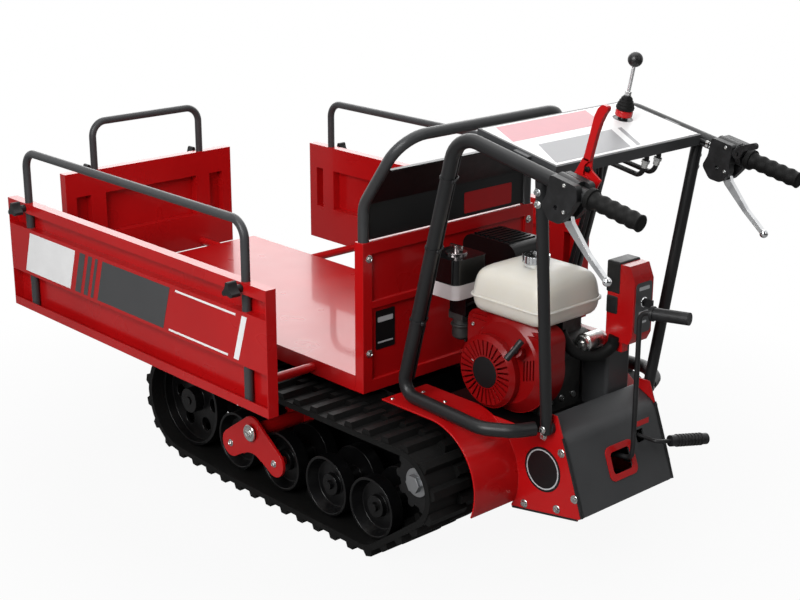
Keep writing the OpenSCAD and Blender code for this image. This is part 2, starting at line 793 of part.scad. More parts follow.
module ram_cradle() {
    lug_t = 10;
    lug_y = barrel_d / 2 + 6;
    half = beam_in - joint_gap;
    translate([ram_x - 75, -half, ram_z - 25]) cube([45, 2 * half, beam_top - ram_z + 25]);
    both_sides() {
        upright(lug_y, lug_t) {
            strap_2d([ram_x, ram_z], [ram_x - 55, ram_z], 20, 24);
        }
        across(ram_x, -1, ram_z, tip_d, lug_y + lug_t + 4);
    }
}

// Lifting ram, drawn along the line from the barrel's pivot to the rod's eye
ram_dir = unit([eye_x - ram_x, 0, eye_z - ram_z]);
ram_l = norm([eye_x - ram_x, eye_z - ram_z]);
barrel_l = ram_l * 0.8;

module along_ram() {
    set_on([ram_x, 0, ram_z], ram_dir, [0, 1, 0], cross(ram_dir, [0, 1, 0])) children();
}

module ram_barrel() {
    color(black) along_ram() difference() {
        union() {
            across(0, -barrel_d / 2 + 2, 0, barrel_d * 0.8, barrel_d - 4);
            rotate([0, 90, 0]) cylinder(d = barrel_d, h = barrel_l);
        }
        across(0, -barrel_d, 0, tip_d + 2 * run_clear, 2 * barrel_d);
        translate([barrel_d * 0.7, 0, 0]) rotate([0, 90, 0]) cylinder(d = rod_d + 2 * run_clear, h = ram_l);
    }
}

module ram_rod() {
    color(chrome) along_ram() {
        translate([barrel_d * 0.8, 0, 0]) rotate([0, 90, 0]) cylinder(d = rod_d, h = ram_l - barrel_d * 0.8);
        across(ram_l, -rod_d / 2, 0, 42, rod_d);
        across(ram_l, -eye_gap + 2, 0, tip_d, 2 * eye_gap - 4);
    }
}

// Rear housing
fender_front = -104;

module fender() {
    r = fender_r;
    low = 202;
    upright(house_y, fender_out - house_y) difference() {
        union() {
            intersection() {
                translate([sprocket_x, sprocket_z]) circle(r);
                translate([sprocket_x, sprocket_z])
                    polygon(2 * r * [[0, 0], [0, 1], [-1, 1], [cos(low), sin(low)]]);
            }
            translate([sprocket_x, sprocket_z + r - skin_t]) square([fender_front - sprocket_x, skin_t]);
        }
        translate([sprocket_x, sprocket_z]) circle(r - skin_t);
    }
    upright(house_y, skin_t) side_plate_2d();
}

// Side plate: from the fender's rear edge to the slanted rear end, with its top corner up by the post
module side_plate_2d() {
    difference() {
        polygon([[sprocket_x - 40, sprocket_z + fender_r - 12], [shoulder_x + 66, sprocket_z + fender_r - 12],
            [shoulder_x + 52, shoulder_z + 44], [shoulder_x + 18, shoulder_z + 44], [shoulder_x, shoulder_z],
            [house_rear, house_low], [house_rear + 14, house_low - 8], [sprocket_x - 120, sprocket_z - 68]]);
        translate([sprocket_x, sprocket_z]) circle(fender_r - skin_t);
    }
}

module fenders() {
    color(red) both_sides() fender();
}

// Dark cover: slanted rear face, sloping top, turned-in sides and the window for the gear lever

module rear_cover() {
    half = house_y - slip;
    face = unit([shoulder_x - house_rear, shoulder_z - house_low]);
    top_x = shoulder_x + 58;
    top_z = engine_plate_z + 42;
    color(charcoal) difference() {
        upright(-half, 2 * half) polygon([[house_rear, house_low], [shoulder_x, shoulder_z], [top_x, top_z],
            [top_x, engine_plate_z + slip], [top_x + 12, house_low]]);
        upright(-half + skin_t, 2 * (half - skin_t)) polygon([[house_rear + skin_t + 2, house_low - 1],
            [shoulder_x + skin_t, shoulder_z - 2], [top_x + 1, top_z - skin_t - 2],
            [top_x + 1, engine_plate_z - 1], [top_x + 13, house_low - 1]]);
        translate([house_rear - 20, gate_y - gate_w / 2, gate_z - gate_h / 2]) cube([80, gate_w, gate_h]);
        translate([house_rear - 20, range_y - 13, range_z - 13]) cube([90, 26, 26]);
    }
}

// Handle frame
perch_x = -592;
bumper_y = 272;
post_foot = [-482, house_y + skin_t + post_d / 2 + slip, 356];
post_top = [-516, handle_y - 7, handle_z(-516) - 12];

function handle_line(y) = [[grip_rear + 5, y, handle_z(grip_rear + 5)], [bend_x, y, handle_z(bend_x)],
    [foot_x, y, foot_z]];
bumper_corner = [-452, bumper_y - 40, foot_z];
bumper_end = [post_foot[0] + 12, post_foot[1] + post_d / 2 + 3, foot_z];

module handle_tube() {
    tail = [[-395, bumper_y, foot_z], bumper_corner, bumper_end];
    color(charcoal) swept_bar(concat(handle_line(handle_y), tail), [bend_r, 34, 60, 60], tube_d);
}

module rear_posts() {
    color(charcoal) both_sides() difference() {
        union() {
            bar(post_foot, post_top, post_d);
            across(post_foot[0], house_y + skin_t + slip, post_foot[2], post_d * 1.2, 12);
        }
        bar(handle_line(handle_y)[0], handle_line(handle_y)[1], tube_d + 2 * slip);
        bar(bumper_corner, bumper_end, tube_d + 2 * slip);
    }
}

// Runs with the handle's slope: X to the front along the slope, Z square to it, origin on the tube's line
module on_handle(x, y = 0) {
    translate([x, y, handle_z(x)]) rotate([0, -handle_fall, 0]) children();
}

console_l = (console_front - console_rear) / cos(handle_fall);
console_top = tube_d / 2 + 2;

module console() {
    edge = 24;
    color(charcoal) on_handle(console_rear) difference() {
        union() {
            translate([0, -console_half, console_top - edge]) cube([console_l, 2 * console_half, edge]);
            both_sides() translate([console_l * 0.3, console_half - 1, tube_d * 0.32])
                cube([40, handle_y - tube_d * 0.4 - console_half + 1, 5]);
        }
        translate([sheet_t, -console_half + sheet_t, console_top - edge - 1])
            cube([console_l - 2 * sheet_t, 2 * (console_half - sheet_t), edge + 1 - sheet_t]);
        translate([lever_u, lever_y, 0]) cylinder(d = 2 * pivot_r + 3, h = 40);
    }
}

module grips() {
    color(black) both_sides() on_handle(grip_rear, handle_y) rotate([0, 90, 0]) difference() {
        rotate_extrude() polygon(concat([[0, 0]], [for (i = [0:40]) let (u = i / 40)
            [(grip_d + 2.2 * cos(u * 360 * 5) - 2) / 2 - (i == 0 ? 5 : 0), u * (grip_l - 12)]],
            [[grip_d * 0.62, grip_l - 11], [grip_d * 0.62, grip_l], [0, grip_l]]));
        translate([0, 0, 4]) cylinder(d = tube_d + 2 * run_clear, h = grip_l);
    }
}

// Black castings that carry the steering levers
perch_l = 52;
clutch_pin_d = 12;
throttle_x = perch_x - perch_l / 2 - 12;

module lever_perches() {
    color(black) both_sides() on_handle(perch_x, handle_y) difference() {
        union() {
            rotate([0, 90, 0]) cylinder(d = tube_d + 16, h = perch_l, center = true);
            translate([-perch_l / 2, -26, -40]) cube([perch_l, 18, 46]);
            upright(-18, 36) strap_2d([0, -4], [2, -36], 22, 15);
        }
        rotate([0, 90, 0]) cylinder(d = tube_d + 2 * run_clear, h = 2 * perch_l, center = true);
        translate([-perch_l, -6, -80]) cube([2 * perch_l, 12, 60]);
        across(2, -40, -36, 8 + 2 * run_clear, 80);
        across(0, -27, -14, clutch_pin_d + 2 * run_clear, 11.5);
    }
    color(black) on_handle(throttle_x, -handle_y) difference() {
        union() {
            rotate([0, 90, 0]) cylinder(d = tube_d + 12, h = 13, center = true);
            translate([-6.5, 8, 4]) cube([13, 14, 12]);
            across(0, 20, 10, 8, 13);
        }
        rotate([0, 90, 0]) cylinder(d = tube_d + 2 * run_clear, h = 40, center = true);
    }
}

// Chrome lever under a grip: a flared root, a curved blade and a ball at its tip
module steer_lever() {
    color(chrome) on_handle(perch_x, handle_y) {
        across(2, -17, -36, 8, 34);
        upright(-5, 10) {
            strap_2d([2, -36], [-20, -66], 14, 9);
            strap_2d([-20, -66], [-76, -107], 9, 5.5);
            strap_2d([-76, -107], [-126, -135], 5.5, 5);
        }
        translate([-131, 0, -138]) rotate([90, 0, 20]) sphere(r = 9);
    }
}

// Red lever on the inner side of the left handle
clutch_y = -48;

module clutch_lever() {
    color(red) on_handle(perch_x, handle_y) {
        upright(clutch_y, 10) {
            strap_2d([0, -14], [-14, 50], 20, 16);
            strap_2d([-14, 50], [-10, 146], 16, 16.5);
        }
        across(0, clutch_y - 6, -14, clutch_pin_d, -clutch_y - 10);
    }
}

module throttle_lever() {
    color(black) on_handle(throttle_x, -handle_y) difference() {
        upright(22 + slip, 8) {
            strap_2d([0, 10], [-10, 26], 11, 7);
            strap_2d([-10, 26], [-36, 40], 7, 7);
        }
        across(0, 10, 10, 8 + 2 * run_clear, 40);
    }
}

// Gear lever: out of the window, up, and back to a grip
gear_d = 11;
gear_y = -14;
gear_low = [house_rear + 10, gear_y, gate_z + 8];
gear_up = [house_rear + 8, gear_y, gate_z + 40];
gear_top = [house_rear + 9, gear_y, gate_z + 337];
gear_back = gear_top + [-107, -26, 5];
gear_grip_l = 82;

module gear_lever() {
    g = unit(gear_back - gear_top);
    grip_start = gear_back - g * gear_grip_l;
    color(black) {
        difference() {
            union() {
                swept_bar([[shift_x, gear_y, shift_z], gear_low, gear_up, gear_top, gear_back],
                    [14, 20, 20], gear_d, 14);
                across(shift_x, gear_y - 10, shift_z, shift_d + 10, 20);
            }
            across(shift_x, gear_y - 20, shift_z, shift_d + 2 * run_clear, 40);
        }
        bar(grip_start, gear_back, 27);
        bar(grip_start - g * 3, grip_start + g * 4, 32);
    }
}

// Range lever: from its bearing through the cover and across to a ribbed grip
range_knee = [house_rear - 6, range_y, range_z];
range_tip = range_knee + [-35, -128, -18];
range_grip_l = 100;

module range_lever() {
    g = unit(range_tip - range_knee);
    color(black) {
        translate([shoulder_x + 36, range_y, range_z]) rotate([0, 90, 0]) cylinder(d = range_d, h = 43);
        swept_bar([[shoulder_x + 40, range_y, range_z], range_knee, range_tip], [14], range_d - 1, 14);
        bar(range_tip - g * range_grip_l, range_tip, 25);
        for (i = [0:7]) bar(range_tip - g * (20 + 9 * i), range_tip - g * (16 + 9 * i), 28);
    }
}

// Hydraulic valve under the console, and its lever with a ball
lever_y = -130;
lever_u = (-401 - console_rear) / cos(handle_fall);
pivot_r = 9;

module valve_block() {
    color(steel) on_handle(console_rear) translate([lever_u, lever_y, console_top - sheet_t - slip]) {
        translate([-32, -36, -48]) difference() {
            cube([64, 72, 48]);
            translate([32, 36, 16]) cylinder(d = 28, h = 40);
        }
        for (y = [-20, 20]) translate([0, y, -66]) cylinder(d = 16, h = 19, $fn = 6);
        for (y = [-20, 20]) translate([-31, y, -24]) rotate([0, -90, 0]) cylinder(d = 17, h = 22);
    }
}

module hydraulic_lever() {
    on_handle(console_rear) translate([lever_u, lever_y, console_top]) {
        color(black) {
            sphere(r = pivot_r);
            across(0, -pivot_r - 1, 0, 6, 2 * pivot_r + 2);
            translate([0, 0, 8]) cylinder(d1 = boot_d, d2 = 16, h = 44);
            translate([0, 0, lever_rod]) sphere(r = 16);
        }
        color(chrome) translate([0, 0, -22]) cylinder(d = 8, h = lever_rod + 20);
    }
}

module hydraulic_tank() {
    color(charcoal) translate([-450, -140, engine_plate_z]) {
        round_block([74, 78, 142], 8);
        translate([37, 39, 141]) cylinder(d = 30, h = 16);
    }
}

// Engine
block_h = 150;
shroud_x = crank_x - 36;
shroud_z = crank_z + 26;
shroud_r = 116;
shroud_in = 68 + slip;
shroud_face = shroud_in + 63;

module at_crank(y) translate([crank_x, y, crank_z]) children();

module engine_block() {
    tilt = 25;
    color(steel) {
        translate([crank_x - 92, -58, engine_plate_z]) round_block([184, 126, block_h], 12);
        at_crank(0) rotate([0, -tilt, 0]) {
            translate([60, -46, -52]) cube([50, 92, 104]);
            for (i = [0:6]) translate([100 + i * 11, -58, -62]) cube([5, 116, 124]);
            translate([100, -40, -44]) cube([78, 80, 88]);
            translate([176, -50, -52]) cube([30, 100, 104]);
        }
        at_crank(-92) rotate([-90, 0, 0]) cylinder(d = 25, h = 40);
        across(crank_x - 106, -40, crank_z + 56, 58, 108);
        for (x = [-108, -20]) translate([crank_x + x, -30, crank_z + 40])
            cube([30, 60, tank_z + 4 - slip - crank_z - 40]);
    }
}

// Squarer upper part of the shroud, up to the tank
module shroud_top(inset, y, h) {
    size = [246 - 2 * inset, tank_z - 3 - shroud_z + 10 - 2 * inset, h];
    translate([-114 + inset, y, -10 + inset]) rotate([90, 0, 0])
        translate([0, 0, -h]) round_block(size, 30 - inset);
}

module fan_shroud() {
    boss_end = pull_at - pull_dir * 14;
    color(red) bar(boss_end - pull_dir * 42, boss_end, 26);
    color(red) translate([shroud_x, shroud_in, shroud_z]) difference() {
        union() {
            rotate([-90, 0, 0]) cylinder(r = shroud_r, h = 44);
            translate([0, 43, 0]) rotate([-90, 0, 0]) cylinder(r1 = shroud_r, r2 = shroud_r - 26, h = 20);
            shroud_top(0, 0, 44);
            shroud_top(9, 43, 9);
            shroud_top(17, 51, 8);
        }
        shroud_top(3, -1, 42);
        translate([-200, -1, -shroud_r - 20]) cube([400, 100, shroud_r + 20 + engine_plate_z - shroud_z + 8]);
        translate([-200, -1, tank_z + 2 - shroud_z]) cube([400, 100, 60]);
        translate([0, -1, 0]) rotate([-90, 0, 0]) cylinder(r = shroud_r - 3, h = 42);
        for (i = [0:3]) translate([-58 - i * 9, 30, -28 + i * 3]) cube([4, 60, 46]);
    }
}

module recoil_cover() {
    color(red) at_crank(shroud_face + slip) rotate([-90, 0, 0]) difference() {
        union() {
            cylinder(r = recoil_r, h = 15);
            translate([0, 0, 14]) cylinder(r1 = recoil_r, r2 = recoil_r - 9, h = 10);
        }
        translate([0, 0, -1]) cylinder(r = recoil_r - 11, h = 21);
        for (i = [0:recoil_slots - 1]) rotate(i * 360 / recoil_slots)
            translate([recoil_r * 0.46, -2, 10]) cube([recoil_r * 0.42, 4, 20]);
    }
}

pull_dir = unit([-0.35, 0.8, 0.48]);
pull_at = [shroud_x - 63, shroud_face + 40.6, shroud_z + 55];

module recoil_handle() {
    grip_dir_pull = unit(cross(pull_dir, [0.3, 0, 1]));
    color(black) {
        bar(pull_at - grip_dir_pull * 24, pull_at + grip_dir_pull * 24, 15);
        bar(pull_at - pull_dir * (14 - slip), pull_at, 12);
    }
}

// Fuel tank: two moulded halves with a seam flange between them
tank_x = crank_x - 41;
tank_y = 44.5;
tank_z = crank_z + 121;

module fuel_tank() {
    seam = tank_h * 0.35;
    color(cream) translate([tank_x, tank_y, tank_z]) difference() {
        union() {
            hull() {
                tank_layer(seam, 30, 60, 60);
                tank_layer(4, 24, 84, 84);
            }
            hull() {
                tank_layer(seam, 30, 60, 60);
                tank_layer(tank_h * 0.78, 34, 90, 90);
                tank_layer(tank_h - 1, 34, 148, 140);
            }
            tank_layer(seam - 2, 32, 56, 56, 5);
            translate([cap_at[0], cap_at[1], tank_h - 8]) cylinder(d = 50, h = 14);
        }
        translate([cap_at[0], cap_at[1], tank_h - 40]) cylinder(d = 38, h = 60);
    }
}

module tank_layer(z, r, less_l, less_w, h = 1) {
    translate([0, 0, z]) linear_extrude(h) offset(r) square([tank_l - less_l, tank_w - less_w], center = true);
}

cap_at = [-15, 19.5];

module fuel_cap() {
    color(black) translate([tank_x + cap_at[0], tank_y + cap_at[1], tank_z + tank_h + 6 + slip]) {
        difference() {
            cylinder(d = 60, h = 16);
            for (a = [0:20:340]) rotate(a) translate([31, 0, -1]) cylinder(d = 5, h = 20);
        }
        translate([0, 0, -14]) cylinder(d = 36, h = 15);
    }
}

module air_cleaner() {
    color(black) translate([crank_x + 82, 62, crank_z + 142]) {
        round_block([104, 104, 34], 16);
        translate([2, 2, 33]) round_block([100, 100, 56], 16);
        translate([52, 52, 88]) cylinder(d = 48, h = 5);
        translate([52, 52, 90]) cylinder(d = 12, h = 16);
        translate([52 - 18, 52 - 3, 98]) cube([36, 6, 10]);
        translate([20, -4 + slip, -50]) cube([50, 56, 51]);
    }
}

module muffler() {
    color(black) translate([crank_x + 78, -122, crank_z + 148]) {
        rotate([90, 0, 0]) translate([0, 0, -104]) round_block([168, 84, 104], 30);
        for (i = [0:7]) translate([28 + i * 15, 10, 82]) cube([7, 84, 5]);
        translate([92, 47, -50]) cylinder(d = 28, h = 54);
        translate([72, 34, -68]) cube([40, 30 - slip, 30]);
    }
}

// Starter box behind the tank, on an arm from the engine
box_front = tank_x - tank_l / 2 - 18;

module starter_box() {
    color(red) difference() {
        union() {
            upright(-104, 64) translate([box_front, key_at[2]])
                polygon([[-62, -92], [-10, -92], [0, -80], [0, 58], [-14, 80], [-58, 80],
                    [-72, 48], [-72, -72]]);
            translate([box_front - 42, -66, engine_plate_z + block_h + slip]) cube([160, 20, 28]);
        }
        translate(key_at - [1, 0, 0]) rotate([0, 90, 0]) cylinder(d = key_d + 2 * run_clear, h = 16);
    }
}

key_at = [box_front - 72, -72, crank_z + 168];
key_d = 12;

module starter_key() {
    color(black) translate(key_at) {
        translate([-4, 0, 0]) rotate([0, 90, 0]) cylinder(d = key_d, h = 18);
        translate([-26, -2, -9]) cube([23, 4, 18]);
    }
}

module gearbox() {
    top = engine_plate_z - plate_t - slip;
    color(steel) difference() {
        union() {
            upright(-gearbox_half + 12, 2 * gearbox_half - 24) {
                translate([sprocket_x, sprocket_z]) circle(72);
                translate([sprocket_x - 95, sprocket_z - 20]) square([150, top - sprocket_z + 20]);
            }
            across(sprocket_x, -gearbox_half, sprocket_z, shaft_d * 2.4, 2 * gearbox_half);
        }
        both_sides()
            across(sprocket_x, gearbox_half - shaft_in - 1, sprocket_z, shaft_d + 2 * run_clear, shaft_in + 2);
    }
}

module belt_cover() {
    y = -beam_out + 16;
    color(charcoal) upright(y, 34) {
        translate([crank_x, crank_z]) circle(60);
        translate([crank_x - 60, engine_plate_z]) square([120, crank_z - engine_plate_z]);
    }
}

// Control cables strapped to the inner side of the handle tubes, and the valve's two hoses
cable_d = 7;
hose_d = 11;

// From a rear port of the valve, back and down, then forward to the leg and down behind it
module hose(port_y, leg_y) {
    fall_x = sin(handle_fall);
    run = [cos(handle_fall), 0, fall_x];
    start = [console_rear, lever_y + port_y, handle_z(console_rear)] + run * (lever_u - 53 - slip)
        + (console_top - sheet_t - slip - 24) * [-fall_x, 0, cos(handle_fall)];
    bend_pt = [bend_x, leg_y, handle_z(bend_x)];
    foot_pt = [foot_x, leg_y, foot_z];
    leg = unit(foot_pt - bend_pt);
    off = (tube_d / 2 + hose_d / 2 + 1.5) * [leg[2], 0, -leg[0]];
    low = foot_pt - leg * 34 + off;
    end = [low[0], leg_y, sprocket_z + fender_r + slip];
    swept_bar([start, start - run * 46, start + [-26, 0, -72], start + [147, -40, -59],
        bend_pt + leg * 190 + off, low, end], [26, 24, 50, 50, 24], hose_d, 10);
}

module control_cables() {
    y = handle_y - max(tube_d, post_d) / 2 - cable_d / 2 - slip;
    rise = [0, 0, cable_d * 0.6];
    for (side = [0, 1], k = [-1, 1]) mirror([0, side, 0]) {
        line = handle_line(y);
        color(black) swept_bar([[perch_x + perch_l / 2 + 4, y, handle_z(perch_x + perch_l / 2 + 4)] + k * rise,
            line[1] + k * [cable_d * 0.2, 0, cable_d * 0.6], line[2] + [-10, 0, 30] + k * [cable_d * 0.6, 0, 0]],
            [bend_r + k * cable_d * 0.6], cable_d, 8);
    }
    color(black) {
        hose(20, -handle_y + 34);
        hose(-20, -handle_y + 20);
    }
}

// Places a wheel at its axle
module wheel_at(x, z, side) {
    translate([x, side * track_mid, z]) children();
}

module placed() translate([-mid_x, 0, 0]) children();

placed() chassis_frame();
placed() fenders();
placed() rear_cover();
placed() both_sides() handle_tube();  // handle_tubes
placed() rear_posts();
placed() console();
placed() grips();
placed() lever_perches();
placed() valve_block();
placed() hydraulic_tank();
placed() engine_block();
placed() fan_shroud();
placed() recoil_cover();
placed() fuel_tank();
placed() air_cleaner();
placed() muffler();
placed() starter_box();
placed() gearbox();
placed() belt_cover();
placed() control_cables();
placed() track();  // left_track
placed() mirror([0, 1, 0]) track();  // right_track
placed() bed_frame();
placed() headboard();
placed() guard();
placed() left_panel();
placed() right_panel();
placed() front_panel();
placed() on_left() hoop(bed_l - 2, side_leg_inset);  // left_hoop
placed() on_right() hoop(bed_l - 2, side_leg_inset);  // right_hoop
placed() on_front() hoop(front_w, front_leg_inset);  // front_hoop
placed() on_left() knobs(bed_l - 2, side_leg_inset);  // left_knobs
placed() on_right() knobs(bed_l - 2, side_leg_inset);  // right_knobs
placed() on_front() knobs(front_w, front_leg_inset);  // front_knobs
for (s = [-1, 1]) {
    side = s > 0 ? "left" : "right";
    placed() mirror([0, s < 0 ? 1 : 0, 0]) wheel_at(sprocket_x, sprocket_z, 1) sprocket();
    placed() mirror([0, s < 0 ? 1 : 0, 0]) wheel_at(idler_x, idler_z, 1) idler();
    placed() mirror([0, s < 0 ? 1 : 0, 0]) wheel_at(roller_rear_x, roller_z, 1) roller();
    placed() mirror([0, s < 0 ? 1 : 0, 0]) wheel_at(roller_rear_x + roller_step, roller_z, 1) roller();
    placed() mirror([0, s < 0 ? 1 : 0, 0]) wheel_at(bogie_x - bogie_half, bogie_z, 1) roller();
    placed() mirror([0, s < 0 ? 1 : 0, 0]) wheel_at(bogie_x + bogie_half, bogie_z, 1) roller();
    placed() mirror([0, s < 0 ? 1 : 0, 0]) bogie();
}
placed() clutch_lever();
placed() steer_lever();  // left_steer_lever
placed() mirror([0, 1, 0]) steer_lever();  // right_steer_lever
placed() throttle_lever();
placed() gear_lever();
placed() range_lever();
placed() hydraulic_lever();
placed() recoil_handle();
placed() fuel_cap();
placed() starter_key();
placed() ram_barrel();
placed() ram_rod();
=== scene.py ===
import math

import bmesh
import bpy
from mathutils import Matrix, Vector


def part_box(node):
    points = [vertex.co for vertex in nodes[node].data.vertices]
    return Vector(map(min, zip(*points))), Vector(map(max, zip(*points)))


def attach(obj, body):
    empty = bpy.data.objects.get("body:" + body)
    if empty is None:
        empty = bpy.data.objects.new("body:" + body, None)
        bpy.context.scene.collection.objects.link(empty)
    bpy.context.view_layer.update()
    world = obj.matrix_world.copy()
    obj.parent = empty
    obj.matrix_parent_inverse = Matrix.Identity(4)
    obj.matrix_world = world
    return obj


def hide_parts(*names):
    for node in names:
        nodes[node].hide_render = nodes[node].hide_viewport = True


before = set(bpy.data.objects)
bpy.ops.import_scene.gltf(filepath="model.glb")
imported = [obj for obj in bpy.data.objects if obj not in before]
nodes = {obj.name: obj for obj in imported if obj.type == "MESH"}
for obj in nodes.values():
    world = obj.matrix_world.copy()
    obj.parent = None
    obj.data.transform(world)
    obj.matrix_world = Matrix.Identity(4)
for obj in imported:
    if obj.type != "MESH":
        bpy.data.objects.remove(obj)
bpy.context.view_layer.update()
mm = 0.001
hands = {"left": 1, "right": -1}    # the two sides, and which way each lies from the middle
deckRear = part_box("bed_frame")[0].x    # rear edge of the load deck, where X starts in the sizes below


def at(x, y, z):    # millimetres from the deck's rear edge, the middle and the ground
    return Vector((deckRear + x * mm, y * mm, z * mm))


# Slope of the handle tubes: u runs up the slope to the front, w stands square to it
slope = {"degrees": 11.3, "rear": -768, "height": 867}
slopeCos = math.cos(math.radians(slope["degrees"]))
slopeSin = math.sin(math.radians(slope["degrees"]))
slopeFront = Vector((slopeCos, 0, slopeSin))
slopeUp = Vector((-slopeSin, 0, slopeCos))


def handleHeight(x):
    return slope["height"] + (x - slope["rear"]) * math.tan(math.radians(slope["degrees"]))


def onHandle(x, u, y, w):
    return at(x + u * slopeCos - w * slopeSin, y, handleHeight(x) + u * slopeSin + w * slopeCos)


# Top of the console, on the same slope, with the hydraulic lever's place on it
consoleFace = {"rear": -535, "length": 217.2, "half": 228, "top": 17, "lever": (136.65, -130)}


def onConsole(u, y, w=consoleFace["top"]):
    return onHandle(consoleFace["rear"], u, y, w)


# Camera, as the photograph was taken
view = {
    "place": (-2401.94, 2352.17, 1572.07),
    "yaw": -42.68,
    "pitch": -17.94,
    "roll": 0.18,
    "focalPixels": 1504.89,
    "imageWidth": 800,
    "sensor": 36.0,
    "clipEnd": 100,
}


def addCamera():
    yaw, pitch, roll = (math.radians(view[k]) for k in ("yaw", "pitch", "roll"))
    ahead = Vector((math.cos(pitch) * math.cos(yaw), math.cos(pitch) * math.sin(yaw), math.sin(pitch)))
    right = ahead.cross(Vector((0, 0, 1))).normalized()
    up = right.cross(ahead)
    tiltedRight = right * math.cos(roll) + up * math.sin(roll)
    tiltedUp = up * math.cos(roll) - right * math.sin(roll)
    data = bpy.data.cameras.new("camera")
    data.sensor_fit = "HORIZONTAL"
    data.sensor_width = view["sensor"]
    data.lens = view["focalPixels"] * view["sensor"] / view["imageWidth"]
    data.clip_end = view["clipEnd"]
    camera = bpy.data.objects.new("camera", data)
    turn = Matrix((tiltedRight, tiltedUp, -ahead)).transposed().to_4x4()
    camera.matrix_world = Matrix.Translation(at(*view["place"])) @ turn
    bpy.context.scene.collection.objects.link(camera)
    bpy.context.scene.camera = camera


addCamera()
print("camera set")


# Shader maths: a wrapped socket that takes part in plain expressions
class Wire:
    def __init__(self, socket):
        self.socket = socket

    def node(self, kind, settings=None, sockets=None, out=0):    # any other node
        tree = self.socket.id_data
        made = tree.nodes.new(kind)
        for key, value in (settings or {}).items():
            setattr(made, key, value)
        for key, value in (sockets or {}).items():
            if isinstance(value, Wire):
                tree.links.new(value.socket, made.inputs[key])
            else:
                made.inputs[key].default_value = value
        return Wire(made.outputs[out])

    def maths(self, operation, a, b=0.0):
        return self.node("ShaderNodeMath", {"operation": operation}, {0: a, 1: b})

    def __add__(self, other):
        return self.maths("ADD", self, other)

    def __radd__(self, other):
        return self.maths("ADD", other, self)

    def __sub__(self, other):
        return self.maths("SUBTRACT", self, other)

    def __rsub__(self, other):
        return self.maths("SUBTRACT", other, self)

    def __mul__(self, other):
        return self.maths("MULTIPLY", self, other)

    def __rmul__(self, other):
        return self.maths("MULTIPLY", other, self)

    def __gt__(self, other):
        return self.maths("GREATER_THAN", self, other)

    def __lt__(self, other):
        return self.maths("LESS_THAN", self, other)

    def __abs__(self):
        return self.maths("ABSOLUTE", self)


def newFinish(name, fixed):    # fixed values go straight onto the shader's sockets
    material = bpy.data.materials.new(name)
    material.use_nodes = True
    shader = material.node_tree.nodes["Principled BSDF"]
    for socket, value in fixed.items():
        shader.inputs[socket].default_value = value
    coords = material.node_tree.nodes.new("ShaderNodeTexCoord")
    return material, shader, Wire(coords.outputs["Object"])


def feed(shader, **wires):
    for socket, wire in wires.items():
        shader.id_data.links.new(wire.socket, shader.inputs[socket.replace("_", " ")])


def noise(coords, scale, detail=2.0, roughness=0.5):
    return coords.node("ShaderNodeTexNoise", {},
        {"Vector": coords, "Scale": scale, "Detail": detail, "Roughness": roughness})


def mixed(mask, low, high):    # the colour sockets of a Mix node
    return mask.node("ShaderNodeMix", {"data_type": "RGBA"}, {0: mask, 6: low, 7: high}, 2)


def between(wire, low, high):    # spreads low..high over 0..1, held at the ends
    return wire.node("ShaderNodeMapRange", {}, {0: wire, 1: low, 2: high})


def bumped(coords, height, strength, distance):
    return coords.node("ShaderNodeBump", {}, {"Strength": strength, "Distance": distance, "Height": height})


def partOf(coords, axis):
    return coords.node("ShaderNodeSeparateXYZ", {}, {0: coords}, "XYZ".index(axis))


def alongAxis(coords, axis):
    return coords.node("ShaderNodeVectorMath", {"operation": "DOT_PRODUCT"}, {0: coords, 1: axis}, 1)


def faceUp(coords, low, high):    # how far the surface faces up, in the piece's own frame
    normal = Wire(coords.socket.node.outputs["Normal"])
    return between(partOf(normal, "Z"), low, high)


def rgba(colour, share=1.0):
    return (*(c * share for c in colour), 1)


# Red enamel: clouded a little, with orange peel and a thin film of dust on the flats
redPaint = {
    "tone": (0.42, 0.0050, 0.0060), "deep": (0.37, 0.0038, 0.0046), "dust": (0.44, 0.04, 0.038),
    "fixed": {"IOR": 1.33, "Coat Roughness": 0.05, "Coat IOR": 1.38},
    "cloud": (5, 3), "cloudRange": (0.3, 0.7), "smudge": (11, 1), "smudgeRange": (0.45, 0.8),
    "flat": (0.3, 0.95), "film": 0.10, "filmDulls": 0.2, "roughness": 0.26, "spread": 0.04,
    "peel": (150, 0), "bump": (0.02, 0.0008),
    "coat": 0.3, "engineCoat": 0.06, "engineShare": 0.5,
}


def makeRed(name="red_enamel", share=1.0, coat=redPaint["coat"]):
    material, shader, coords = newFinish(name, {**redPaint["fixed"], "Coat Weight": coat})
    cloud = noise(coords, *redPaint["cloud"])
    smudge = noise(coords, *redPaint["smudge"])
    film = faceUp(coords, *redPaint["flat"]) * between(smudge, *redPaint["smudgeRange"]) * redPaint["film"]
    deep, tone = (rgba(redPaint[k], share) for k in ("deep", "tone"))
    colour = mixed(between(cloud, *redPaint["cloudRange"]), deep, tone)
    feed(shader, Base_Color=mixed(film, colour, rgba(redPaint["dust"])),
        Roughness=redPaint["roughness"] + smudge * redPaint["spread"] + film * redPaint["filmDulls"],
        Normal=bumped(coords, noise(coords, *redPaint["peel"]), *redPaint["bump"]))
    return material


# Charcoal powder coat: fine grain, slightly speckled
charcoal = {
    "tone": (0.044, 0.045, 0.047), "deep": (0.034, 0.035, 0.037), "fixed": {"IOR": 1.40},
    "grain": (1300, 2), "cloud": (12, 3), "grainShare": 0.5, "range": (0.35, 0.65),
    "roughness": 0.34, "spread": 0.12, "bump": (0.16, 0.0003), "tubeShare": 0.28,
}


